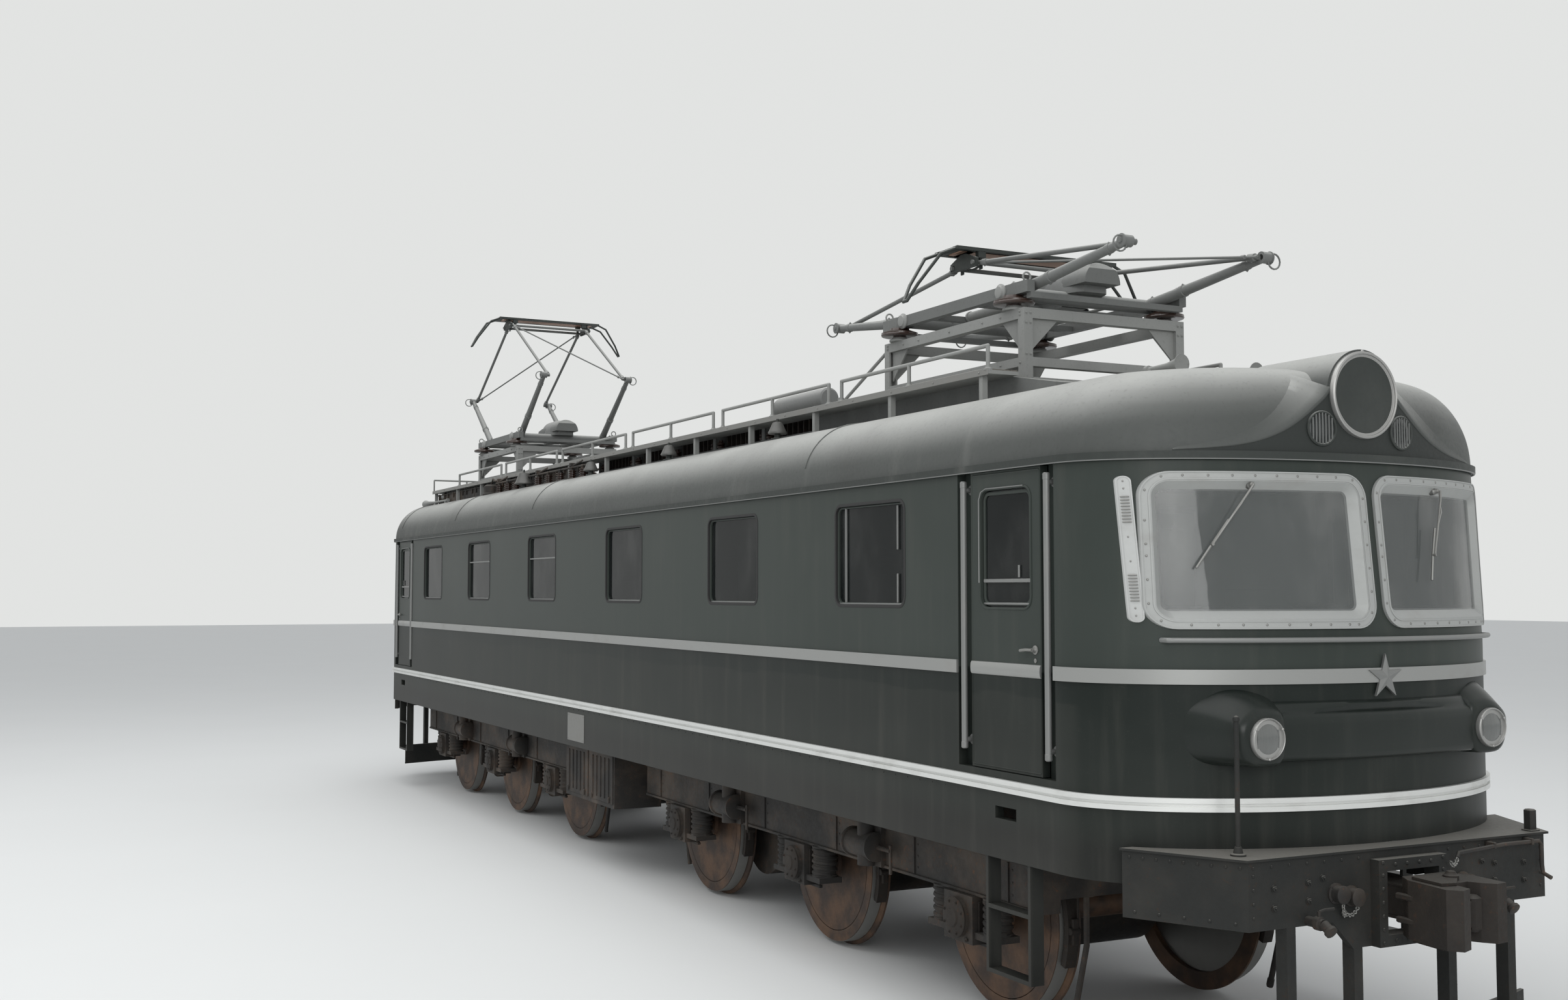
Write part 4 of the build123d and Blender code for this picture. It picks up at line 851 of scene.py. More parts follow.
class Copies(Enum):
    """How a form is repeated about the locomotive's middle: the factors of x and y for every copy."""

    ONE = ((1, 1),)
    SIDES = ((1, 1), (1, -1))
    ENDS = ((1, 1), (-1, 1))
    FOUR = ((1, 1), (1, -1), (-1, 1), (-1, -1))
    ROUND = ((1, 1), (-1, -1))


def makes(*pieces: tuple[str, Coat], body: str = "", copies: Optional[Copies] = None, sharp: float = 35,
          instead: str = "") -> Callable:
    """Mark a method that fills one form for every named piece.

    Args:
        pieces: the pieces' names and finishes.
        body: the body that carries them, where it isn't the assembly's own.
        copies: how the forms are repeated, where it isn't the assembly's own way.
        sharp: the angle in degrees above which an edge stays sharp.
        instead: the solid model's node that the piece is shown instead of.

    Returns:
        What marks the method.
    """
    def mark(method: Callable) -> Callable:
        """Note on the method what it makes."""
        method.making = (pieces, body, copies, sharp, instead)
        return method
    return mark


class Assembly:
    """A sub-assembly: it dresses the solid model's nodes, and its marked methods make the pieces."""

    finishes: ClassVar[tuple] = ()
    copies: ClassVar[Copies] = Copies.ONE
    own_body: ClassVar[str] = ""

    @property
    def tag(self) -> str:
        """What follows the names of its nodes and pieces."""
        return f"_{self.end.label}" if hasattr(self, "end") else ""

    def carrier(self, part: str) -> str:
        """The body that carries a part."""
        name = part or self.own_body
        return name + self.tag if name else "root"

    def placed(self, form: Form) -> Form:
        """The form at this assembly's place."""
        return form

    def build(self) -> None:
        """Dress the nodes and make the pieces."""
        for coat, *nodes in self.finishes:
            dress(coat, *(node + self.tag for node in nodes))
        for method in vars(type(self)).values():
            if not hasattr(method, "making"):
                continue
            pieces, body, copies, sharp, instead = method.making
            forms = [Form() for _ in pieces]
            method(self, *forms)
            for form, (name, coat) in zip(forms, pieces):
                whole = self.placed(form.copied((copies or self.copies).value))
                made = whole.piece(name + self.tag, coat, self.carrier(body), sharp)
                if instead:
                    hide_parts(instead)


@dataclass
class Windscreens(Assembly):
    """Both pairs of windscreens: seals, splays, beads, screws and the wipers."""

    inner_y: float = 75
    outer_y: float = 1240
    bottom: float = 2535
    top: float = 3285
    corner: float = 90
    frame_width: float = 45
    proud: float = 14
    splay: float = 62
    glass_depth: float = -50
    screw_pitch: float = 118
    wiper_ends: tuple = (((-740, 3256), (-1050, 2812)), ((590, 3256), (450, 2750)))
    finishes = ((Coat.FRAME, "windscreen_frames"), (Coat.WINDSCREEN, "windscreen_glass"))
    copies = Copies.ENDS

    def outline(self, grow: float, steps: int = 8) -> list[Spot]:
        """The window's outline about its own middle."""
        half_width = (self.outer_y - self.inner_y) / 2 + grow
        half_height = (self.top - self.bottom) / 2 + grow
        return divided(rounded(half_width, half_height, self.corner + grow, steps), 60)

    def middle(self, side: Side) -> Spot:
        """The window's middle in y and z."""
        return side.value * (self.inner_y + self.outer_y) / 2, (self.bottom + self.top) / 2

    def band(self, form: Form, *loops: tuple[float, float]) -> None:
        """A closed band round both windows, by each edge's distance outside the opening and height."""
        for side in Side:
            y, z = self.middle(side)
            laid = [[NOSE.at(y + u, z + v, proud) for u, v in self.outline(grow)] for grow, proud in loops]
            form.loft(laid, closed=True)

    @makes(("windscreen_seals", Coat.RUBBER))
    def seals(self, form: Form) -> None:
        """The rubber that holds the glass, at the foot of the splayed frame."""
        edge, lip, deep = 1 - self.splay, -13 - self.splay, self.glass_depth
        self.band(form, (edge, deep + 2), (edge, deep + 12), (lip, deep + 8), (lip, deep + 1))

    @makes(("windscreen_splays", Coat.FRAME))
    def splays(self, form: Form) -> None:
        """The inner part of each frame, leaning back from the flat rim to the sunk glass."""
        deep, proud, foot = self.glass_depth, self.proud, -self.splay
        self.band(form, (1, proud - 4), (1, proud), (-7, proud - 1), (foot, deep + 9), (foot, deep + 2))

    @makes(("windscreen_beads", Coat.FRAME))
    def beads(self, form: Form) -> None:
        """Raised lips along both edges of each frame."""
        low, high = self.proud - 1, self.proud + 4
        for grow in (self.frame_width - 4, 3):
            outer, inner = grow + 3.5, grow - 3.5
            self.band(form, (outer, low), (outer, high), (inner, high), (inner, low))

    @makes(("windscreen_screws", Coat.DULL_METAL), sharp=60)
    def screws(self, form: Form) -> None:
        """A row of screws round the middle of each frame."""
        loop = self.outline(self.frame_width / 2, 10)
        for side in Side:
            y0, z0 = self.middle(side)
            since = 0
            for (u0, v0), (u1, v1) in zip(loop, loop[1:] + loop[:1]):
                since += hypot(u1 - u0, v1 - v0)
                if since >= self.screw_pitch:
                    since -= self.screw_pitch
                    y, z = y0 + u1, z0 + v1
                    form.stud(NOSE.at(y, z, self.proud), NOSE.out(y, z), 7.5, 3.5)

    @makes(("wipers", Coat.DULL_METAL), copies=Copies.ROUND)
    def wipers(self, form: Form) -> None:
        """Two wipers, each with its shaft, sprung arm and rubber blade in a channel."""
        for foot, tip in self.wiper_ends:
            base, out, end = NOSE.at(*foot), NOSE.out(*foot), NOSE.at(*tip, 4)
            form.turned(base - out * 20, out, [(0, 20), (24, 20), (30, 15), (46, 13), (50, 8)])
            form.tube([base.lerp(end, t) + out * off for t, off in ((0, 40), (0.1, 44), (0.72, 26))], 6)
            form.tube([base.lerp(end, t) + out * off for t, off in ((0, 30), (0.25, 52), (0.4, 36))], 3, 6)
            top, low = base.lerp(end, 0.42) + out * 16, end + out * 14
            form.tube([top, top.lerp(low, 0.5) - out * 3, low], 7, 6)
            form.rod(top.lerp(low, 0.52) + out * 18, top.lerp(low, 0.52) - out * 4, 8)


@dataclass
class FrontTrim(Assembly):
    """What is fixed to the painted ends: handrail, air strips and star."""

    rail_height: float = 2432
    rail_reach: float = 1205
    rail_radius: float = 14.5
    rail_stand_off: float = 34
    strip_middle: float = 1321
    strip_half: float = 30
    strip_lean: float = 0.04
    strip_bottom: float = 2525
    strip_top: float = 3308
    star_height: float = 2228
    star_radius: float = 126
    copies = Copies.ENDS

    @makes(("front_handrails", Coat.RAIL))
    def handrail(self, form: Form) -> None:
        """The thin rail right round the front, on its feet."""
        z, spread = self.rail_height, pi / 2 * 0.9
        turns = [spread * (i / 28 - 1) for i in range(57)]
        path = [NOSE.at(self.rail_reach * sin(turn) / sin(spread), z, self.rail_stand_off) for turn in turns]
        ends = [NOSE.at(way * self.rail_reach * 1.004, z, -4) for way in (-1, 1)]
        form.tube([ends[0]] + path + [ends[1]], self.rail_radius, 10)
        for y in (-760, -260, 260, 760):
            foot, out = NOSE.at(y, z), NOSE.out(y, z)
            form.rod(foot - out * 4, foot + out * self.rail_stand_off, 8)

    def strip_y(self, z: float) -> float:
        """How far from the middle an air strip stands at a height."""
        return self.strip_middle + self.strip_lean * (z - (self.strip_bottom + self.strip_top) / 2)

    @makes(("air_strips", Coat.STRIP))
    def air_strips(self, form: Form) -> None:
        """The light strips beside the outer windscreen corners, each with a raised edge."""
        height, half = (self.strip_bottom + self.strip_top) / 2, self.strip_half
        outline = divided(rounded(half, self.strip_top - height, half * 0.98, 8), 80)
        for side in (1, -1):
            laid = []
            for wide, tall, proud in (
                (1, 1, -2), (1, 1, 9), (0.8, 0.985, 9), (0.8, 0.985, 6), (0.04, 0.9, 6)
            ):
                spots = [(self.strip_y(height + v * tall) + u * wide, height + v * tall) for u, v in outline]
                laid.append([NOSE.at(side * y, z, proud) for y, z in spots])
            form.loft(laid)

    @makes(("air_strip_louvres", Coat.DULL_METAL))
    def louvres(self, form: Form) -> None:
        """Slotted patches at two heights of each air strip, and screws along it."""
        half = self.strip_half - 13
        for side in (1, -1):
            for z in [low + i * 17 for low in (2640, 3060) for i in range(9)]:
                y = self.strip_y(z)
                a, b = NOSE.at(side * (y - half), z, 9), NOSE.at(side * (y + half), z, 9)
                form.tube([a, (a + b) / 2 + NOSE.out(side * y, z) * 3, b], 4, 6)
            for z in (2560, 2600, 2850, 2980, 3240, 3280):
                y = side * self.strip_y(z)
                form.stud(NOSE.at(y, z, 6), NOSE.out(y, z), 6, 3)

    @makes(("stars", Coat.STAR), sharp=10)
    def star(self, form: Form) -> None:
        """The plain five-pointed star on the upper moulding, with ridged points."""
        face, z = NOSE.at(0, self.star_height, 16).x, self.star_height
        outline = []
        for i in range(10):
            radius, angle = self.star_radius * (0.36 if i % 2 else 1), pi / 2 + i * pi / 5
            outline.append((radius * cos(angle), z + radius * sin(angle)))
        points = [(face + step, u, v) for step in (-8, 6) for u, v in outline] + [(face + 20, 0, z)]
        faces = [tuple(range(10))]
        faces += [(i, (i + 1) % 10, 10 + (i + 1) % 10, 10 + i) for i in range(10)]
        form.add(points, faces + [(10 + i, 10 + (i + 1) % 10, 20) for i in range(10)])


def window_ring(middle: Spot, half: Spot, corner: float, width: float, depth: Spot) -> Form:
    """A rounded frame standing in the plane of the left wall.

    Args:
        middle: its middle along the wall and its middle height.
        half: half its width and half its height, outside.
        corner: its corner radius.
        width: the width of its bar.
        depth: its inner and outer y.

    Returns:
        The frame.
    """
    (x, z), (back, front) = middle, depth
    rows = ((0, back), (0, front - 3), (0.5, front), (1, front - 3), (1, back))
    loops = []
    for share, y in rows:
        cut = width * share
        outline = rounded(half[0] - cut, half[1] - cut, corner - cut)
        loops.append([(x + u, y, z + v) for u, v in outline])
    return Form().loft(loops, closed=True)


@dataclass
class SideWindows(Assembly):
    """The windows of the machine room: rubber beads, sashes and bars."""

    centres: tuple[float, ...] = (1217, 3622, 5810)
    half_width: float = 468.5
    bottom: float = 2590
    top: float = 3280
    corner: float = 70
    frame_y: Spot = (1472, 1488)
    finishes = ((Coat.WINDOW, "side_glass"),)

    def rings(self, form: Form, grow: float, width: float, depth: Spot) -> None:
        """A frame in every opening, larger than it by a little."""
        z, height = (self.bottom + self.top) / 2, (self.top - self.bottom) / 2
        for x in self.centres:
            form.join(
                window_ring((x, z), (self.half_width + grow, height + grow), self.corner + grow, width, depth)
            )

    @makes(("side_window_rubber", Coat.RUBBER), copies=Copies.FOUR)
    def beads(self, form: Form) -> None:
        """The dark rubber beads round every opening."""
        self.rings(form, 9, 20, (1482, 1505))

    @makes(("side_window_sashes", Coat.BODY), copies=Copies.FOUR)
    def sashes(self, form: Form) -> None:
        """The panes' frames, painted like the body."""
        self.rings(form, -12, 13, self.frame_y)

    @makes(("side_window_bars", Coat.RAIL), copies=Copies.SIDES)
    def bars(self, form: Form) -> None:
        """Bright bars along every sill, at the half-lowered panes and upright in the first window."""
        (y0, y1), reach, pane = self.frame_y, self.half_width - 22, (self.bottom + self.top) / 2 + 96
        for x in [-x for x in self.centres] + list(self.centres):
            form.box((x - reach, x + reach), (y0 - 4, y1 + 1), (self.bottom + 9, self.bottom + 22))
        for x in (-3622, -1217):
            form.box((x - reach, x + reach), (y0, y1 - 2), (pane, pane + 16))
        x = self.centres[2]
        form.box((x - 352, x - 338), (y0, y1 - 2), (self.bottom + 20, self.top - 20))
        for height in ((self.bottom + 24, self.bottom + 215), (self.top - 320, self.top - 30)):
            form.box((x + 342, x + 354), (y0, y1 - 2), height)


@dataclass
class CabDoor(Assembly):
    """One cab door: its window, handle, edge and its length of the upper moulding."""

    end: End
    side: Side
    centre: float = 7393
    half_width: float = 356
    leaf_y: float = 1490
    leaf_z: Spot = (1662, 3388)
    window_half: float = 258
    window_bottom: float = 2590
    window_top: float = 3290
    finishes = ((Coat.BODY, "cab_door"), (Coat.WINDOW, "door_glass"))
    own_body = "cab_door"

    @property
    def tag(self) -> str:
        """What follows the names of its nodes and pieces."""
        return f"_{self.end.label}_{self.side.label}"

    def placed(self, form: Form) -> Form:
        """The leading left door's form at this door."""
        return form.copied([(self.end.value, self.side.value)])

    @makes(("door_window_frame", Coat.BODY))
    def window_trim(self, form: Form) -> None:
        """The edge of the window and the frame of the drop-light inside it."""
        z, height = (self.window_bottom + self.window_top) / 2, (self.window_top - self.window_bottom) / 2
        for grow, corner, width, depth in ((7, 77, 14, (1462, 1496)), (-16, 54, 20, (1469, 1480))):
            half = (self.window_half + grow, height + grow)
            form.join(window_ring((self.centre, z), half, corner, width, depth))

    @makes(("door_window_bars", Coat.RAIL))
    def bars(self, form: Form) -> None:
        """The bright rail across the drop-light, its catch and the thin bright edge beside and above."""
        low, top, x, y = self.window_bottom + 150, self.window_top, self.centre, 1497
        form.box((x - 238, x + 238), (1470, 1482), (low, low + 22))
        form.box((x - 238, x + 238), (1470, 1482), (self.window_bottom + 20, self.window_bottom + 34))
        path = [(x - 262, y, low), (x - 262, y, top - 60), (x - 240, y, top - 14)]
        form.tube(path + [(x - 190, y, top + 4), (x + 190, y, top + 4)], 4, 6)
        form.rod((x + 120, 1476, low + 30), (x + 120, 1476, low + 100), 7)

    @makes(("door_handle", Coat.DULL_METAL))
    def handle(self, form: Form) -> None:
        """The handle on its rose, and the lock."""
        x, y = self.centre + self.half_width - 62, self.leaf_y
        form.turned((x, y, 2360), OUTWARD, [(-2, 26), (5, 26), (8, 18), (24, 11), (28, 11)], 16)
        form.tube([(x, y + 26, 2360), (x - 60, y + 28, 2360), (x - 118, y + 24, 2354)], 9)
        form.turned((x, y, 2300), OUTWARD, [(-2, 13), (4, 13), (6, 9)], 12)

    @makes(("door_edge", Coat.BODY))
    def edge_trim(self, form: Form) -> None:
        """The thin raised edge all round the leaf."""
        z0, z1 = self.leaf_z
        half = (self.half_width - 8, (z1 - z0) / 2 - 4)
        form.join(window_ring((self.centre, (z0 + z1) / 2), half, 22, 9, (self.leaf_y - 4, self.leaf_y + 3)))

    @makes(("door_band", Coat.MOULDING))
    def band(self, form: Form) -> None:
        """The upper moulding's length on the leaf, between two small joints."""
        section = [(0, -39), (8, -36), (14, -25), (16, 0), (14, 25), (8, 36), (0, 39)]
        outline = [(self.leaf_y - 2 + u, 2239 + v) for u, v in section]
        form.prism(outline, "x", self.centre - self.half_width + 4, self.centre + self.half_width - 9)

    @makes(("door_lining", Coat.CAB))
    def inside(self, form: Form) -> None:
        """The inner lining, as seen through the glass."""
        form.box((self.centre - 300, self.centre + 300), (1432, 1438), (1700, 2520), 4)


@dataclass
class FrontLamps(Assembly):
    """The lamps: two low ones in their fairing, the main lamp in the forehead and its two small grilles."""

    low_y: float = 828
    low_z: float = 1926
    low_face: float = 8800
    main_z: float = 3770
    main_radius: float = 233
    main_face: float = 8690
    grille_y: float = 297
    grille_z: float = 3574
    grille_radius: float = 90
    bell_depth: float = 784
    foot: float = 3441
    highest: float = 3950
    proud: float = 3
    edge: tuple = ((226, 3790), (262, 3745), (318, 3700), (405, 3630), (520, 3556), (655, 3500), (800, 3468),
                   (960, 3452), (1120, 3445))
    root_corners: tuple = (
        (307, 67), (262, 182), (103, 324), (-133, 325), (-188, 224), (-188, -136), (-28, -151),
        (272, -151),
    )
    face_corners: tuple = (
        (147, 24), (122, 84), (42, 129), (-68, 129), (-138, 114), (-138, -126), (-28, -141),
        (112, -126),
    )
    finishes = ((Coat.FAIRING, "lamp_fairings"), (Coat.CHROME, "lamps"))
    copies = Copies.ENDS

    def swelling(self, side: int, x: float, grow: float, share: float) -> list[Vector]:
        """One rounded section of the housing behind a low lamp.

        Args:
            side: the side of the middle.
            x: where the section lies.
            grow: its size beside that of the plain corners.
            share: how far it is from the root's corners to the face's.

        Returns:
            The section's points.
        """
        pairs = zip(self.root_corners, self.face_corners)
        corners = [Vector(root).lerp(Vector(face), share) for root, face in pairs]
        for _ in range(3):
            pairs = zip(corners, corners[1:] + corners[:1])
            corners = [one.lerp(other, cut) for one, other in pairs for cut in (0.25, 0.75)]
        return [vec(x, side * (self.low_y + grow * c.x), self.low_z + grow * c.y) for c in corners]

    @makes(("lamp_housings", Coat.FAIRING), sharp=50, instead="lamp_fairings")
    def housings(self, form: Form) -> None:
        """The rounded housing of both low lamps and the low ledge that joins them across the front."""
        root_x, face_x = 8440, self.low_face - 20
        rows = [(t, 1.04, t**1.45) for t in (0, 0.15, 0.3, 0.45, 0.6, 0.72, 0.82, 0.9, 0.96)]
        rows += [(0.985, 1, 1), (1, 0.93, 1)]
        for side in (1, -1):
            form.loft([self.swelling(side, root_x + t * (face_x - root_x), *row) for t, *row in rows])
        loops = []
        for i in range(31):
            y = 760 * (i / 15 - 1)
            front, wall = face_x - 12 + 58 * (1 - (y / 760) ** 2), NOSE.at(y, 2100).x
            shape = [
                (wall - 60, 1797), (front - 40, 1797), (front - 14, 1802), (front - 3, 1815), (front, 1840)
            ]
            shape += [(front, 1990), (front - 4, 2022), (front - 15, 2041), (front - 32, 2052)]
            shape += [
                (wall + (front - wall) * 0.45, 2070), (wall + 22, 2092), (wall + 7, 2108), (wall - 60, 2108)
            ]
            loops.append([vec(x, y, z) for x, z in shape])
        form.loft(loops)

    def plan_x(self, y: float, proud: float) -> float:
        """How far ahead the forehead stands at a distance from the middle, standing proud by a little."""
        share = sqrt(max(0, 1 - (y / (NOSE.half_width + proud)) ** 2))
        return NOSE.start + (self.bell_depth + proud) * share

    def dome_x(self, y: float, z: float) -> float:
        """How far ahead the plain rounded roof stands at a point."""
        low, high = 0, NOSE.half_width
        for _ in range(24):
            middle = (low + high) / 2
            low, high = (middle, high) if ROOF.height(middle) > z else (low, middle)
        return NOSE.start + self.bell_depth * sqrt(max(0, low**2 - y**2)) / NOSE.half_width

    def brow(self) -> list[Vector]:
        """The forehead's edge in y and z, from the main lamp down to the gutter, finely divided."""
        corners = [Vector(corner) for corner in self.edge]
        for _ in range(2):
            pairs = zip(corners, corners[1:])
            cut = [one.lerp(other, share) for one, other in pairs for share in (0.25, 0.75)]
            corners = [corners[0]] + cut + [corners[-1]]
        return corners

    def flare(self, y: float, z: float, out: Vector, width: float) -> list[Point]:
        """One section of the forehead's raised edge, from behind its face back to the roof.

        Args:
            y: the edge's distance from the middle.
            z: its height.
            out: the direction square to it.
            width: the section's width beside that at the top.

        Returns:
            The section's points.
        """
        x = self.plan_x(y, self.proud)
        loop = [(x - 60, y, z), (x, y, z)]
        for step, rise in ((3, 5), (12, 8), (22, 6)):
            u, v = y + out.x * step * width, z + out.y * step * width
            loop.append((self.plan_x(u, self.proud + rise * width), u, v))
        for step, share in ((60, 0.4), (110, 0.75), (170, 1)):
            u, v = y + out.x * step * width, min(z + out.y * step * width, self.highest)
            ahead = self.plan_x(u, self.proud)
            loop.append((ahead + (self.dome_x(u, v) - 3 - ahead) * share, u, v))
        return loop + [(self.dome_x(u, v) - 60, u, v)]

    @makes(("foreheads", Coat.FOREHEAD), ("forehead_edges", Coat.ROOF), sharp=50)
    def forehead(self, face: Form, flares: Form) -> None:
        """The bell-shaped face round the main lamp, and its raised edge that flares back to the roof."""
        edge, foot = self.brow(), self.foot
        last = len(edge) - 1
        for side in (1, -1):
            skin, rim = [], []
            for i, (y, z) in enumerate(edge):
                run = unit(edge[min(i + 1, last)] - edge[max(i - 1, 0)])
                x = self.plan_x(y, self.proud)
                loop = [(x, y, foot + (z + 2 - foot) * k / 6) for k in range(7)]
                skin.append(loop + [(x - 120, y, z + 2), (x - 120, y, foot)])
                rim.append(self.flare(y, z, Vector((-run.y, run.x)), 1 - 0.9 * (i / last) ** 2))
            for form, rows in ((face, skin), (flares, rim)):
                form.loft([[(x, side * u, v) for x, u, v in row] for row in rows])
        middle = []
        for i in range(17):
            y = self.edge[0][0] * (i / 8 - 1)
            x, top = self.plan_x(y, self.proud), self.main_z
            middle.append([(x, y, foot), (x, y, top), (x - 150, y, top), (x - 150, y, foot)])
        face.loft(middle)

    @makes(("lamp_rims", Coat.CHROME), instead="lamps")
    def rims(self, form: Form) -> None:
        """The bright rings of all three lamps."""
        for y in (-self.low_y, self.low_y):
            profile = [(0, 104), (0, 109), (24, 110), (29, 108), (31, 105), (29, 102), (22, 100), (18, 98)]
            form.turned((self.low_face - 22, y, self.low_z), AHEAD, profile, 40)
        profile = [(0, 232), (3, 243), (40, 244), (52, 241), (57, 234), (53, 227), (46, 225), (44, 222)]
        form.turned((self.main_face - 30, 0, self.main_z), AHEAD, profile + [(44, 213), (40, 210)], 64)

    @makes(("main_lamp_recess", Coat.GUTTER))
    def recess(self, form: Form) -> None:
        """The dark funnel between the main lamp's ring and its sunk glass."""
        profile = [(42, 214), (40, 209), (10, 198), (6, 190), (2, 190), (2, 214)]
        form.turned((self.main_face - 30, 0, self.main_z), AHEAD, profile, 56)

    @makes(("low_lamp_lenses", Coat.LENS), sharp=60)
    def lenses(self, form: Form) -> None:
        """The low lamps' fluted, domed glasses."""
        for y in (-self.low_y, self.low_y):
            profile = [(0, 101), (6, 100), (14, 86), (20, 64), (24, 38), (25.5, 13), (26, 1)]
            form.turned((self.low_face - 20, y, self.low_z), AHEAD, profile, 36)
            for u in range(-70, 71, 14):
                reaches = [t * sqrt(84**2 - u**2) for t in (-1, -0.5, 0, 0.5, 1)]
                form.tube(
                    [(self.low_face - 2 - 14 * (r / 90) ** 2, y + u, self.low_z + r) for r in reaches], 4, 6
                )

    @makes(("main_lamp_lenses", Coat.DARK_LENS), sharp=60)
    def main_lens(self, form: Form) -> None:
        """The main lamp's dark, slightly domed glass with upright flutes."""
        face = self.main_face - 22
        form.turned((face, 0, self.main_z), AHEAD, [(0, 196), (3, 196), (9, 140), (12, 80), (13, 2)], 44)
        for u in range(-154, 155, 22):
            reaches = [t * sqrt(178**2 - u**2) for t in (-1, -0.6, -0.2, 0.2, 0.6, 1)]
            form.tube(
                [(face + 12 - 10 * (u**2 + r**2) / 196**2, u, self.main_z + r) for r in reaches], 3.5, 6
            )

    @makes(("lamp_catches", Coat.CHROME))
    def knobs(self, form: Form) -> None:
        """The knob on top of the main lamp's ring and the low lamps' screws."""
        top = (self.main_face + 2, 0, self.main_z + self.main_radius - 3)
        form.turned(top, UP, [(0, 16), (8, 16), (14, 10), (22, 8), (24, 2)], 14)
        for y in (-self.low_y, self.low_y):
            for turn in (0.5, 2.6, 4.7):
                place = (self.low_face + 6, y + 103 * cos(turn), self.low_z + 103 * sin(turn))
                form.stud(place, AHEAD, 8, 6)

    @makes(("grille_rings", Coat.GUTTER), ("grille_bars", Coat.MONITOR), ("grille_glasses", Coat.DARK_LENS))
    def grilles(self, rings: Form, bars: Form, glass: Form) -> None:
        """Two small round lights on the forehead: their rings, their upright bars and their glasses."""
        r = self.grille_radius
        for y in (-self.grille_y, self.grille_y):
            at, out = vec(self.plan_x(y, self.proud) - 2, y, self.grille_z), NOSE.out(y, 3000)
            out = unit(vec(out.x, out.y, 0))
            rings.turned(
                at, out, [(-4, r + 8), (9, r + 8), (13, r + 4), (13, r - 3), (7, r - 8), (0, r - 9)], 32
            )
            for u in range(-63, 64, 21):
                middle = at + out * 11 + out.cross(Vector(UP)) * u
                reach = vec(0, 0, sqrt((r - 4) ** 2 - u**2))
                bars.rod(middle - reach, middle + reach, 4.5, sides=8)
            glass.turned(at, out, [(-3, r - 6), (3, r - 6), (6, r * 0.5), (7, 2)], 28)


@dataclass
class SidePanels(Assembly):
    """Small things on the long sides: blank plates, rivets and the feet of the door rails."""

    plate_x: Spot = (-311, 173)
    plate_z: Spot = (1205, 1477)
    rivet_reach: int = 6750
    rail_x: Spot = (6971, 7815)
    rail_z: Spot = (1774, 3330)
    finishes = (
        (Coat.BODY, "side_wall_left", "side_wall_right", "cab_shell_front", "cab_shell_rear"),
        (Coat.MOULDING, "body_mouldings"),
        (Coat.RAIL, "door_rails"),
    )
    copies = Copies.SIDES

    @makes(("blank_plates", Coat.DULL_METAL))
    def plates(self, form: Form) -> None:
        """The two blank plates, one on each side, with their rivets."""
        form.box(self.plate_x, (1498, 1505), self.plate_z, 2)
        for x in (self.plate_x[0] + 25, self.plate_x[1] - 25):
            for z in (self.plate_z[0] + 22, self.plate_z[1] - 22):
                form.stud((x, 1505, z), OUTWARD, 8, 4)

    @makes(("side_rivets", Coat.BODY), sharp=60)
    def rivets(self, form: Form) -> None:
        """The rivet row under the lower moulding."""
        for x in range(-self.rivet_reach, self.rivet_reach + 1, 150):
            form.stud((x, 1500, 1512), OUTWARD, 5.5, 2.6, 6)

    @makes(("door_rail_feet", Coat.RAIL), copies=Copies.FOUR)
    def rail_feet(self, form: Form) -> None:
        """The flanged feet of the door rails and the shallow plates behind them."""
        low, high = self.rail_z
        for x in self.rail_x:
            for z in self.rail_z:
                form.turned((x, 1500, z), UP, [(-22, 15), (-16, 21), (16, 21), (22, 15)], 14)
            for z in (low + 30, high - 30):
                form.turned((x, 1441, z), OUTWARD, [(0, 30), (6, 30), (9, 20)], 16)


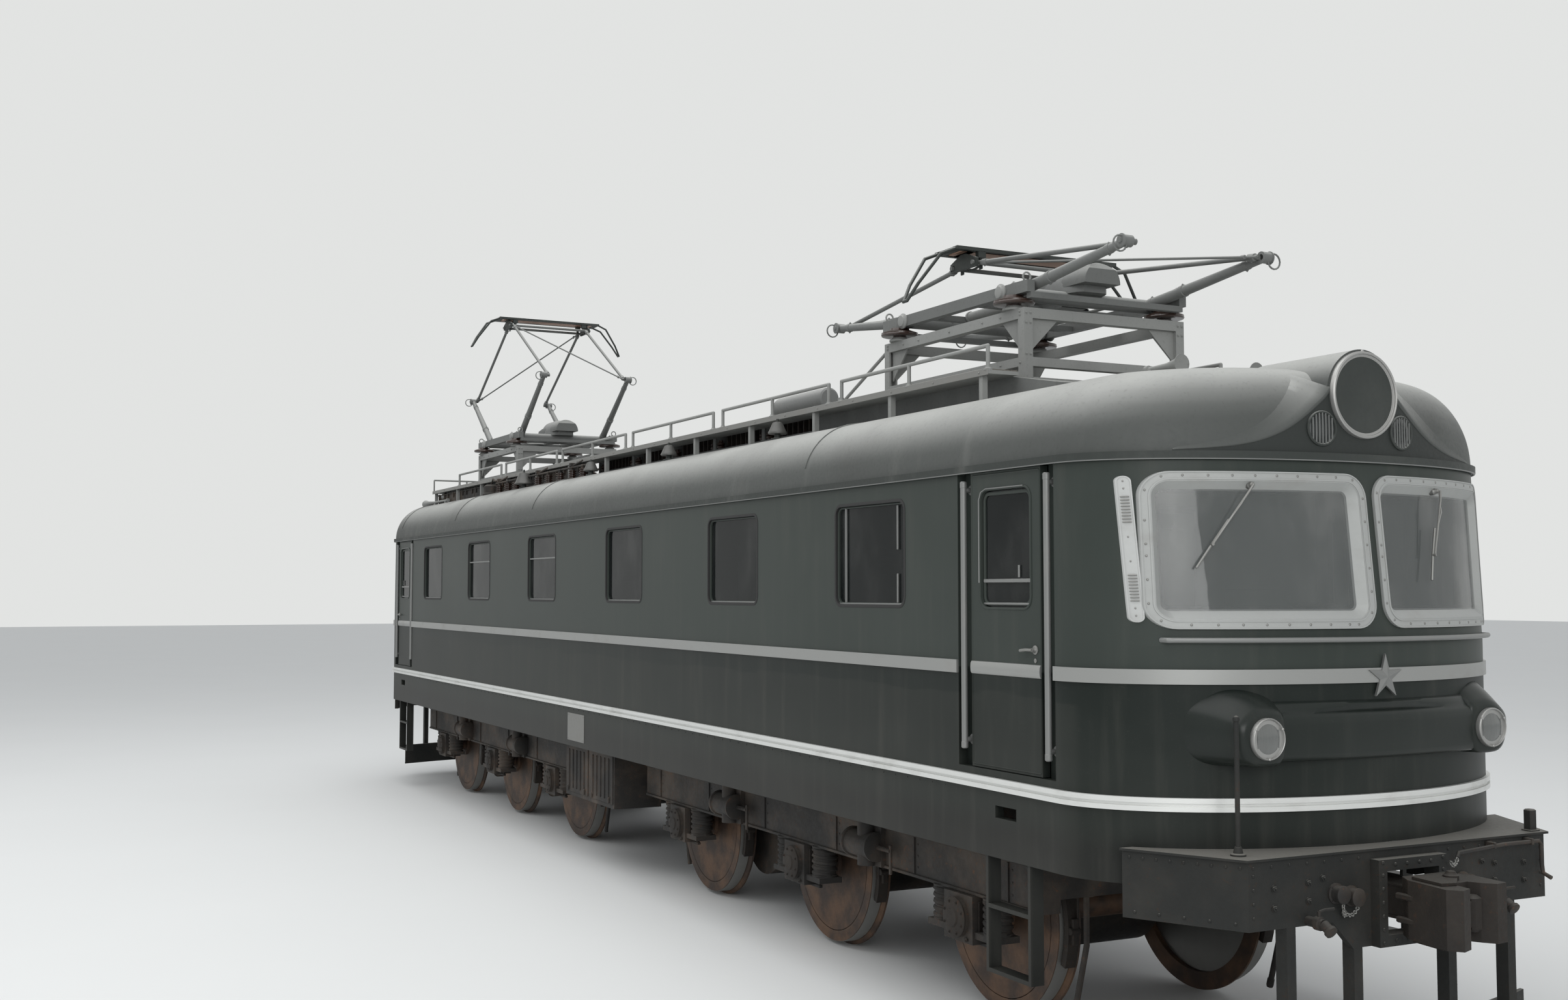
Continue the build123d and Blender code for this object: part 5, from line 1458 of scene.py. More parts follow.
@dataclass
class RoofGear(Assembly):
    """The roof: joints, resistor bays, walkways, cable rack, switchgear, insulators, horns and railing."""

    monitor_half: float = 760
    monitor_top: float = 4180
    bays: Spot = (-1500, 3700)
    bay_count: int = 5
    walk_y: Spot = (760, 1000)
    walk_top: float = 4125
    walk_x: Spot = (-7850, 6500)
    switch_y: float = 1045
    switches: tuple = (-1200, -1560, -1960, -2380, -2760, -3620, -3960, -4330)
    gutter_reach: Spot = (805, 1521)
    finishes = (
        (Coat.ROOF, "roof_shell"),
        (Coat.MONITOR, "roof_monitor", "pantograph_bases"),
        (Coat.GUTTER, "roof_gutter"),
        (Coat.ROOF_STEEL, "roof_walkways", "pantograph_stands"),
        (Coat.PORCELAIN, "roof_busbars", "pantograph_insulators"),
    )
    copies = Copies.SIDES

    @makes(("roof_joints", Coat.ROOF), copies=Copies.ONE)
    def joints(self, form: Form) -> None:
        """Half-round cover strips across the roof between its sheets."""
        across = [1480 * sin(pi / 2 * (i / 20 - 1)) for i in range(41)]
        for x in (-7650, -4800, -1620, 4850):
            form.tube([(x, y, ROOF.height(y) + 3) for y in across], 7, 6)

    @makes(("resistor_grids", Coat.RUSTY), ("bay_insulators", Coat.PORCELAIN))
    def monitor_insides(self, grids: Form, bells: Form) -> None:
        """Stacked resistor grids and bell insulators inside the open bays."""
        pitch = (self.bays[1] - self.bays[0]) / self.bay_count
        foot = ROOF.height(self.monitor_half) + 45
        profile = [(0, 26), (10, 26), (14, 40), (30, 38), (34, 24), (44, 38), (60, 36), (66, 20), (84, 18)]
        for i in range(self.bay_count):
            start = self.bays[0] + i * pitch + 60
            for k in range(9):
                x = start + 60 + k * (pitch - 240) / 8
                grids.box((x, x + 14), (395, 690), (foot + 2, self.monitor_top - 55), 2)
            for x in (start + 6, start + pitch - 132):
                bells.turned((x, 722, foot - 2), UP, profile, 18)

    @makes(("monitor_trim", Coat.MONITOR), copies=Copies.ONE)
    def monitor_trim(self, form: Form) -> None:
        """The monitor's top edge strips, lid lines and lifting eyes."""
        half, top = self.monitor_half, self.monitor_top
        for y in (-1, 1):
            form.box((-1500, 6000), ((half - 14) * y, (half + 9) * y), (top - 10, top + 7))
        for x in (-900, 1100, 3300, 4150):
            form.box((x - 6, x + 6), (-758, 758), (top - 1, top + 5), 1.5)
        for x in (-400, 2200, 4000):
            for y in (-600, 600):
                form.hoop((x, y, top + 24), 26, 6, 12)

    @makes(("walkway_boards", Coat.BOARD), ("walkway_edges", Coat.DULL_METAL))
    def walkways(self, boards: Form, edges: Form) -> None:
        """The walkways' boards, light edge strips and bolt heads."""
        (y0, y1), (x0, x1), top = self.walk_y, self.walk_x, self.walk_top
        rows, cuts, studs = 4, 8, 26
        wide, long = (y1 - y0 - 16) / rows, (x1 - x0) / cuts
        for row in range(rows):
            y = y0 + 8 + row * wide
            for i in range(cuts):
                x = x0 + i * long
                boards.box((x + 3, x + long - 3), (y, y + wide - 5), (top - 2, top + 8), 2)
        edges.box((x0, x1), (y1 - 3, y1 + 5), (top - 34, top + 11), 2)
        for i in range(studs):
            edges.stud((x0 + 100 + i * (x1 - x0 - 200) / (studs - 1), y1 + 5, top - 12), OUTWARD, 8, 5)

    @makes(("roof_rack", Coat.ROOF_STEEL), ("busbar_sheds", Coat.PORCELAIN), copies=Copies.ONE)
    def racks(self, metal: Form, bells: Form) -> None:
        """Behind the monitor: the open cable rack with its rows of stacked insulators and busbar clamps."""
        foot, top = ROOF.height(0), ROOF.height(450) + 124
        for x in range(-1900, -6101, -700):
            metal.box((x - 22, x + 22), (-560, 560), (foot - 30, foot + 34), 4)
            for y in (-450, 450):
                metal.turned((x, y, top - 8), UP, [(0, 30), (10, 30), (14, 22), (30, 20), (34, 8)], 16)
                for z in (20, 62, 100):
                    r = 92 - z * 0.33
                    bells.turned(
                        (x, y, top - 140 + z), UP, [(0, r - 22), (4, r), (14, r + 1), (24, r - 24)], 20
                    )
        for y in (-130, 0, 130):
            metal.tube([(-6250, y, foot + 44), (-4000, y, foot + 46), (-1500, y, foot + 44)], 14)

    @makes(("edge_bells", Coat.BELL), ("edge_bell_stems", Coat.GUTTER))
    def edge_bells(self, bells: Form, stems: Form) -> None:
        """The broad bell insulators along the roof's edge, on dark stems."""
        y, lip = 1080, 3964
        foot = ROOF.height(y)
        for x, r in ((3588, 77), (1294, 77), (-860, 77), (-3205, 112)):
            stems.turned((x, y, foot - 12), UP, [(0, 52), (18, 52), (24, 26), (lip - foot + 20, 24)], 16)
            profile = [(0, r * 0.5), (-8, r - 6), (-2, r), (8, r), (20, r * 0.9)]
            bells.turned(
                (x, y, lip), UP, profile + [(r * 0.8, r * 0.66), (r * 1.1, r * 0.52), (r * 1.22, 12)], 26
            )
            stems.rod((x, y, lip + r), (x, y, lip + r * 1.5), 11)

    @makes(("switch_posts", Coat.PORCELAIN), ("switch_metal", Coat.GRIME))
    def switchgear(self, posts: Form, metal: Form) -> None:
        """The rear edge: ribbed post insulators, their clamps, the bar over them and a blade switch."""
        y = self.switch_y
        foot = ROOF.height(y)
        ribs = [(k * 24 + step, r) for k in range(4) for step, r in ((0, 30), (7, 47), (13, 47), (18, 31))]
        for i, x in enumerate(self.switches):
            posts.turned((x, y, foot), UP, [(-14, 30)] + ribs, 18)
            metal.turned((x, y, foot + 92), UP, [(0, 26), (12, 26), (16, 15), (34, 15)], 14)
            metal.block((x, y, foot + 123), (80, 40, 22), 4)
            metal.block((x, y, foot - 9), (120, 90, 26), 4)
            if i % 3 == 1:
                metal.block((x - 7, y, foot + 153), (46, 60, 46), 6)
                metal.rod((x, y, foot + 140), (x + 330, y, foot + 178), 10)
        metal.tube([(-4460, y, foot + 123), (-2760, y, foot + 126), (-1080, y, foot + 123)], 12)
        metal.turned((-4700, y, foot - 18), UP, [(0, 110), (24, 110), (34, 92), (120, 88), (140, 60)], 24)
        metal.tube([(-4700, y, foot + 120), (-4620, y, foot + 190), (-4480, y, foot + 150)], 11)

    @makes(("cable_troughs", Coat.GRIME))
    def troughs(self, form: Form) -> None:
        """The closed cable troughs under the rear walkways, with their lids and clips."""
        low, high = ROOF.height(960) - 20, self.walk_top - 30
        for x0 in range(-7740, -2003, 478):
            x1 = x0 + 466
            form.box((x0, x1), (830, 944), (low, high - 34), 6)
            form.box((x0 - 4, x1 + 4), (818, 956), (high - 40, high - 22), 4)
            for x in (x0 + 90, x1 - 90):
                form.block((x, 952, high - 54), (28, 20, 76), 4)

    @makes(("roof_vents", Coat.COVER))
    def vents(self, form: Form) -> None:
        """A long round-backed cover on each side of the monitor's top, on its feet."""
        x, y, z, reach = 2760, 640, self.monitor_top + 86, 900
        profile = [
            (0, 4), (2, 60), (14, 86), (34, 92), (reach - 34, 92), (reach - 10, 88), (reach, 74), (reach, 4)
        ]
        form.turned((x, y, z), AHEAD, profile, 26)
        for foot in (x + 140, x + reach - 140):
            form.box((foot - 24, foot + 24), (y - 74, y + 74), (self.monitor_top - 4, z - 50), 4)

    @makes(("down_lead", Coat.ROOF_STEEL), copies=Copies.ONE)
    def down_lead(self, form: Form) -> None:
        """The sloping rod from the roof to the leading stand."""
        form.tube([(3850, -640, 4176), (3908, -640, 4218), (4674, -640, 4554)], 13)
        form.turned((3850, -640, 4176), UP, [(0, 40), (20, 40), (26, 26), (70, 26), (74, 12)], 16)

    @makes(("air_horns", Coat.ROOF_STEEL), copies=Copies.ONE)
    def horns(self, form: Form) -> None:
        """Short horns ahead of the leading stand, and two long ones that point over the rear end."""
        rows = ((7260, -330, 84, 330, 1), (7260, 330, 84, 260, 1), (-7050, -985, 40, 1250, -1))
        for x, y, rise, length, way in rows + ((-6650, -905, 105, 860, -1),):
            z = ROOF.height(y) + rise
            profile = [(0, 26), (26, 26), (30, 14), (length * 0.6, 20), (length * 0.9, 38), (length, 58)]
            form.turned((x, y, z), (way, 0, 0), profile + [(length + 3, 58), (length, 48)], 22)
            for share in (0.1, 0.55) if length > 500 else (0.12,):
                at = x + way * share * length
                form.box((at - 20, at + 20), (y - 16, y + 16), (z - rise - 14, z + 4), 5)

    @makes(("end_railing", Coat.ROOF_STEEL), copies=Copies.ONE)
    def railing(self, form: Form) -> None:
        """The low railing across the far end, where the walkways finish."""
        x, top = self.walk_x[0], 4296
        for y in (-980, -500, 0, 500, 980):
            foot = self.walk_top - 10 if abs(y) > 700 else ROOF.height(y) - 20
            form.rod((x, y, foot), (x, y, top), 11, sides=10)
        form.tube([(x, -980, top), (x, 0, top), (x, 980, top)], 12)

    @makes(("hoop_feet", Coat.ROOF_STEEL))
    def hoop_feet(self, form: Form) -> None:
        """Flanged feet under every post of the hand hoops."""
        for i in range(6):
            end = self.walk_x[1] - 28 - i * 2190
            for x in (end - 1985, end - 992.5, end):
                form.turned((x, 980, self.walk_top), UP, [(0, 30), (12, 30), (16, 20), (26, 18)], 14)

    @makes(("gutter_bead", Coat.RAIL), copies=Copies.ONE)
    def gutter_line(self, form: Form) -> None:
        """The rolled bead that runs round under the gutter."""
        (ahead, aside), turns = self.gutter_reach, [pi / 2 - pi * i / 48 for i in range(49)]
        front = [(NOSE.start + ahead * cos(turn), aside * sin(turn), NOSE.gutter) for turn in turns]
        form.tube(front + [(-x, -y, z) for x, y, z in front], 6.5, 6, closed=True)


@dataclass
class Pantograph(Assembly):
    """One pantograph with its stand: the trim on its stand, base, arms and head."""

    end: End
    raised: float
    centre: float
    base_z: float = 4710
    pivot_x: float = 644
    lower_length: float = 1200
    upper_length: float = 1711
    head_x: float = 136
    lower_y: float = 560
    upper_y: float = 505
    stand_y: float = 640
    stand_x: float = 880
    stand_top: float = 4570
    insulator_x: float = 750
    head_height: float = 105
    strip_x: float = 120
    plate_y: float = 545
    copies = Copies.SIDES

    @property
    def knuckle(self) -> Vector:
        """The leading knuckle, in the middle plane."""
        angle = radians(self.raised)
        return vec(
            self.pivot_x + self.lower_length * cos(angle), 0, self.base_z + self.lower_length * sin(angle)
        )

    @property
    def head_z(self) -> float:
        """The height of the head's pivots."""
        return self.knuckle.z + sqrt(self.upper_length**2 - (self.knuckle.x - self.head_x) ** 2)

    def carrier(self, part: str) -> str:
        """The body that carries a part."""
        return f"pantograph{self.tag}_{part}" if part else "root"

    def placed(self, form: Form, turned: bool = False) -> Form:
        """The form moved to this pantograph's place, turned half round first where asked."""
        whole = form.copied([(-1, -1)]) if turned else form
        return Form().join(whole, Matrix.Translation((self.centre, 0, 0)))

    @makes(("stand_bolts", Coat.ROOF_STEEL))
    def stand_trim(self, form: Form) -> None:
        """Bolts on the stand's legs and rails."""
        y = self.stand_y
        for way in (-1, 1):
            x = way * self.stand_x
            for z in (4260, 4470, 4535):
                for u in (-17, 17):
                    form.bolt((x + way * 35, y + u, z), (way, 0, 0), 8)
            for z in (4205, 4525, 4548):
                form.bolt((x - way * 12, y + 35, z), OUTWARD, 8)
        for x in (-640, -420, 0, 420, 640):
            for z in (4535, 4210):
                form.bolt((x, y + 35, z), OUTWARD, 7)

    @makes(("insulator_sheds", Coat.PORCELAIN), ("insulator_caps", Coat.ROOF_STEEL), copies=Copies.FOUR)
    def insulators(self, sheds: Form, caps: Form) -> None:
        """The rounded lower lip of each broad insulator, and its cast foot and bolted cap."""
        x, y, top = self.insulator_x, self.stand_y, self.base_z + 40
        profile = [
            (0, 60), (-6, 122), (-2, 136), (8, 141), (18, 137), (26, 120), (40, 82), (52, 66), (57, 66)
        ]
        sheds.turned((x, y, self.base_z - 98), UP, profile, 28)
        caps.turned((x, y, self.stand_top), UP, [(0, 78), (14, 78), (20, 62), (30, 56), (34, 40)])
        for u, radius in ((0, 14), (-24, 8), (24, 8)):
            caps.bolt((x + u, y, top), UP, radius)

    @makes(("base_trim", Coat.ROOF_STEEL), copies=Copies.ONE)
    def base_trim(self, form: Form) -> None:
        """Bearing housings, eye rings, the raising springs in their tubes and the hood's bolts."""
        y, z, half = self.stand_y, self.base_z, Form()
        for x in (-self.pivot_x, self.pivot_x):
            half.turned((x, y + 30, z), OUTWARD, [(0, 58), (10, 58), (16, 46), (26, 40), (30, 22)], 22)
            half.bolt_ring((x, y + 39, z), OUTWARD, 46, 4, 6)
        for x in (-900, 900):
            half.hoop((x, y, z + 66), 30, 7, 14)
            half.rod((x, y, z + 30), (x, y, z + 40), 10)
        half.rod((-250, 330, z - 2), (260, 330, z - 2), 34, sides=18)
        half.rod((-500, 330, z - 2), (480, 330, z - 2), 12, sides=10)
        for x in (-250, 250):
            half.turned((x, 330, z - 2), AHEAD, [(-10, 40), (10, 40)], 18)
        for x in (290, 420, 550):
            half.bolt((x, 152, 4760), OUTWARD, 7)
        form.join(half.copied(Copies.SIDES.value))
        form.tube([(300, 106, 4720), (250, 180, 4712), (60, 180, 4712), (-240, 60, 4700)], 11)

    @makes(("raising_cover", Coat.COVER), copies=Copies.ONE)
    def cover(self, form: Form) -> None:
        """The round-backed cover over the raising gear: a broad domed end that tapers away behind."""
        low, loops = 4742, []
        stations = [(-420, 52, 70), (-100, 84, 128), (200, 112, 178), (250, 146, 214), (560, 158, 214)]
        for x, half, rise in stations + [(700, 148, 186), (766, 122, 132), (792, 92, 84)]:
            turns = [pi * i / 12 for i in range(13)]
            arch = [(x, half * cos(turn), low + 30 + (rise - 30) * sin(turn)) for turn in turns]
            loops.append([(x, half, low)] + arch + [(x, -half, low)])
        form.loft(loops)

    def lower_arm_trim(self, form: Form) -> None:
        """Arm clamps with their bolts, the knuckle's cap and its ring, for the left leading arm."""
        foot, knuckle, shift = vec(self.pivot_x, 0, self.base_z), self.knuckle, vec(0, self.lower_y, 0)
        along = unit(knuckle - foot)
        up = vec(-along.z, 0, along.x)
        for share, r in ((0.07, 44), (0.34, 43), (0.86, 34)):
            at = foot.lerp(knuckle, share) + shift
            form.turned(at - along * 22, along, [(0, r - 6), (3, r), (41, r), (44, r - 6)])
            form.bolt(at + up * r, up, 8)
            if share > 0.1:
                form.bolt(at - up * r, -up, 8)
        form.turned(knuckle + shift + vec(0, 36, 0), OUTWARD, [(-2, 44), (6, 44), (10, 34)])
        form.hoop(knuckle + shift + along * 16 + vec(0, 62, -24), 50, 6, 16, 6)

    def upper_arm_trim(self, form: Form) -> None:
        """Clamps at both ends of the tube and the knuckle's cap, for the left leading arm."""
        knuckle, top, shift = self.knuckle, vec(self.head_x, 0, self.head_z), vec(0, self.upper_y, 0)
        along = unit(top - knuckle)
        up = vec(-along.z, 0, along.x)
        at = knuckle + along * 60 + shift
        form.turned(at - along * 34, along, [(0, 20), (4, 26), (60, 26), (66, 19)], 16)
        form.bolt(at + up * 25, up, 7)
        at = top - along * 70 + shift
        form.turned(at - along * 30, along, [(0, 18), (4, 24), (50, 24), (54, 18)], 16)
        form.bolt(at + up * 23, up, 6)
        form.turned(knuckle + vec(0, 606, 0), OUTWARD, [(-4, 21), (3, 21), (5, 15), (8, 15)], 12)

    def diagonal_trim(self, form: Form) -> None:
        """Clamps at both ends of the long diagonal."""
        knuckle, top = self.knuckle, vec(self.head_x, 0, self.head_z)
        along = unit(top - knuckle)
        for share, y in ((0.05, self.upper_y * 0.9), (0.95, -self.upper_y * 0.9)):
            at = knuckle.lerp(top, share) + vec(0, y, 0)
            form.turned(at - along * 18, along, [(0, 12), (3, 15), (33, 15), (36, 12)], 12)

    @makes(("head_springs", Coat.GUTTER), body="head", copies=Copies.ONE)
    def head_trim(self, form: Form) -> None:
        """Spring boxes and slotted hangers under the strips, and the bent tubes between them."""
        strip, reach = self.head_z + self.head_height, self.strip_x
        for side in (-1, 1):
            y = side * (self.plate_y - 62)
            for x in (-reach, reach):
                form.box((x - 24, x + 24), (y - 32, y + 32), (strip - 74, strip - 22), 5)
                form.coil((x, y, strip - 106), 36, 15, 4, 3.5, 12)
                form.box((x - 20, x + 20), (y - 5, y + 5), (strip - 148, strip - 70))
                form.bolt((x, side * self.plate_y, strip - 21), DOWN, 6)
            drops = ((-reach, 118), (-40, 132), (40, 132), (reach, 118))
            form.tube([(x, y, strip - drop) for x, drop in drops], 9)

    @makes(("contact_strips", Coat.COPPER), body="head", copies=Copies.ONE)
    def strips(self, form: Form) -> None:
        """The worn copper wear pieces let in along the top of both strips, and the tray that joins them."""
        strip = self.head_z + self.head_height
        form.box((4 - self.strip_x, self.strip_x - 4), (-620, 620), (strip - 24, strip - 13))
        for x in [way * self.strip_x + u for way in (-1, 1) for u in (-17, 0, 17)]:
            for y in range(-640, 431, 214):
                form.box((x - 7, x + 7), (y, y + 209), (strip - 8, strip), 0.5)

    def build(self) -> None:
        """Make and dress this pantograph."""
        super().build()
        dress(Coat.GUTTER, self.carrier("head"))
        lower, upper, diagonal = Form(), Form(), Form()
        self.lower_arm_trim(lower)
        self.upper_arm_trim(upper)
        self.diagonal_trim(diagonal)
        sides = Copies.SIDES.value
        upper = upper.copied(sides).join(diagonal)
        arms = (("lower", Coat.ARM, lower.copied(sides)), ("upper", Coat.MONITOR, upper))
        for way in ("fore", "aft"):
            for level, coat, form in arms:
                body = self.carrier(f"{level}_arm_{way}")
                dress(coat, body)
                self.placed(form, way == "aft").piece(f"{level}_arm_clamps_{way}{self.tag}", Coat.ARM, body)


@dataclass
class Bogie(Assembly):
    """One three-axle bogie: springs, axlebox covers, brake gear, sand pipes and pipework."""

    end: End
    centre: float = 4100
    spacing: float = 2300
    wheel_radius: float = 625
    frame_y: float = 1080
    frame_outer: float = 1145
    frame_low: float = 780
    frame_high: float = 1060
    frame_half: float = 3150
    box_outer: float = 1190
    spring_x: float = 290
    wing_top: float = 555
    finishes = ((Coat.GRIME, "bogie_frame", "axleboxes"),)
    copies = Copies.SIDES
    own_body = "bogie"

    @property
    def axles(self) -> tuple[float, float, float]:
        """The axles' places from the bogie's centre."""
        return -self.spacing, 0, self.spacing

    def placed(self, form: Form) -> Form:
        """The form at this bogie."""
        return Form().join(form, Matrix.Translation((self.centre, 0, 0))).copied([(self.end.value, 1)])

    @makes(("bogie_springs", Coat.GRIME))
    def springs(self, form: Form) -> None:
        """The coils round every spring seat, with their end plates."""
        y, low, high = self.frame_y, self.wing_top, self.frame_low
        for x in [axle + way * self.spring_x for axle in self.axles for way in (-1, 1)]:
            form.coil((x, y, low + 16), high - low - 32, 84, 15, 4.6, 16)
            form.turned((x, y, low), UP, [(-1, 96), (10, 96), (14, 88)], 22)
            form.turned((x, y, high), DOWN, [(-1, 96), (12, 96), (16, 88)], 22)

    @makes(("axlebox_covers", Coat.RUSTY))
    def covers(self, form: Form) -> None:
        """Axlebox cover plates with their bolts, oil plugs and the guides' liners."""
        y, z = self.box_outer, self.wheel_radius
        profile = [(0, 128), (8, 128), (14, 118), (18, 60), (26, 52), (28, 6)]
        for axle in self.axles:
            form.turned((axle, y + 26, z), OUTWARD, profile, 30)
            form.bolt_ring((axle, y + 38, z), OUTWARD, 104, 8, 9)
            form.rod((axle + 92, y - 2, z - 118), (axle + 112, y + 12, z - 130), 11, sides=8)
            for way in (-1, 1):
                x = axle + way * 171
                form.block((x, 1080, 625), (14, 140, 240))
                for u in (-50, 0, 50):
                    form.bolt((x + way * 6, 1080, z + u), (way, 0, 0), 8)

    @makes(("bogie_frame_trim", Coat.GRIME))
    def frame_trim(self, form: Form) -> None:
        """Flange strips, ribs and rivets, and the horn guides that hold the axleboxes."""
        half, outer, low, high = self.frame_half - 6, self.frame_outer, self.frame_low, self.frame_high
        for heights in ((low - 4, low + 16), (high - 16, high + 4)):
            form.box((-half, half), (outer - 4, outer + 14), heights)
        for axle in self.axles:
            for x in (axle - 205, axle + 205):
                outline = [(x - 14, 540), (x + 14, 540), (x + 14, low + 4), (x - 14, low + 4)]
                form.prism(outline, "y", 1050, 1112)
                form.block((x, 1081, 544), (52, 42, 16))
                form.rod((x, 1081, 479), (x, 1081, 545), 14, sides=10)
            form.block((axle, 1081, 467), (464, 30, 24), 4)
        for x in (-2800, -1700, -600, 600, 1700, 2800):
            form.box((x - 7, x + 7), (outer - 4, outer + 11), (800, 1040), 2)
            for z in (845, 920, 995):
                form.stud((x + 40, outer, z), OUTWARD, 9, 5)

    @makes(("brake_blocks", Coat.RUSTY))
    def brakes(self, form: Form) -> None:
        """A block each side of every wheel, on hangers from the frame."""
        z, inner, outer = self.wheel_radius, self.wheel_radius + 8, self.wheel_radius + 52
        turns = [radians(5 * i - 20) for i in range(9)]
        face = [(inner, turn) for turn in turns] + [(outer, turn) for turn in reversed(turns)]
        for axle, way in [(axle, way) for axle in self.axles for way in (-1, 1)]:
            form.prism([(axle + way * r * cos(turn), z + r * sin(turn)) for r, turn in face], "y", 752, 832)
            x = axle + way * (outer + 6)
            form.block((x, 792, 620), (32, 44, 160), 5)
            form.block((x, 768, 770), (18, 16, 340))
            form.rod((x, 740, 930), (x, 1016, 930), 17, sides=12)
            form.turned((x, 756, 625), OUTWARD, [(0, 20), (4, 24), (70, 24), (74, 20)], 12)

    @makes(("brake_cylinders", Coat.GRIME))
    def brake_cylinders(self, form: Form) -> None:
        """The brake cylinders beside the middle axle, with their piston rods and levers."""
        profile = [(0, 92), (8, 104), (30, 104), (34, 92), (330, 92), (334, 104), (356, 104), (364, 60)]
        for x in (-1150, 1150):
            form.turned((x - 210, 1205, 920), AHEAD, profile, 24)
            form.rod((x + 150, 1205, 920), (x + 330, 1205, 920), 16)
            form.block((x + 330, 1205, 860), (24, 18, 200), 4)
            for u in (-150, 80):
                form.box((x + u - 16, x + u + 16), (1140, 1215), (900, 945), 4)

    @makes(("sand_pipes", Coat.GRIME))
    def sand_pipes(self, form: Form) -> None:
        """Sanding pipes down to the rail before and behind the outer wheels."""
        y, top, x = 782, self.frame_half - 60, self.spacing + self.wheel_radius
        path = [(top, y, 880), (top, y, 560), (x + 90, y, 300), (x + 40, y, 130)]
        form.tube(path, 19, 10)
        form.tube([(-x, y, z) for x, y, z in path], 19, 10)
        form.turned(path[-1], (-0.28, 0, -1), [(-40, 24), (0, 24), (14, 20)], 12)
        form.block((top, y, 861), (72, 68, 22), 4)

    @makes(("bogie_pipes", Coat.CABLE))
    def pipework(self, form: Form) -> None:
        """Air and cable pipes clipped along the outside of the frame."""
        for y, z, radius in ((1096, 1088, 11), (1105.6, 1112, 8)):
            form.tube([(x, y, z) for x in (-3000, -1500, 1500, 3000)], radius)
        for x in (-2900, -2000, -700, 700, 2000, 2900):
            form.block((x, 1097, 1089), (24, 30, 70), 4)


@dataclass
class Wheelset(Assembly):
    """The pair of wheels on one axle: its spokes' ribs and hub rings, and the bright treads."""

    number: int
    centre: float
    radius: float = 625
    finishes = ((Coat.WHEEL, "wheelset"),)
    copies = Copies.SIDES
    own_body = "wheelset"

    @property
    def tag(self) -> str:
        """What follows the names of its node and pieces."""
        return f"_{self.number}"

    def placed(self, form: Form) -> Form:
        """The form at this axle."""
        return Form().join(form, Matrix.Translation((self.centre, 0, self.radius)))

    @makes(("wheel_ribs", Coat.WHEEL), ("wheel_treads", Coat.DULL_METAL))
    def faces(self, ribs: Form, treads: Form) -> None:
        """The left wheel's ribs, hub ring and tread."""
        for i in range(12):
            way = vec(cos(i * pi / 6), 0, sin(i * pi / 6))
            ribs.rod(way * 148 + vec(0, 808, 0), way * 537 + vec(0, 808, 0), 30, 22, sides=8)
        ribs.turned((0, 858, 0), OUTWARD, [(-60, 540), (2, 540), (4, 560), (2, 600)], 48)
        ribs.turned((0, 888, 0), OUTWARD, [(-30, 152), (2, 150), (6, 128), (4, 88)], 32)
        treads.turned((0, 762, 0), OUTWARD, [(0, 625.4), (60, 622.6), (92, 620.4)], 64)


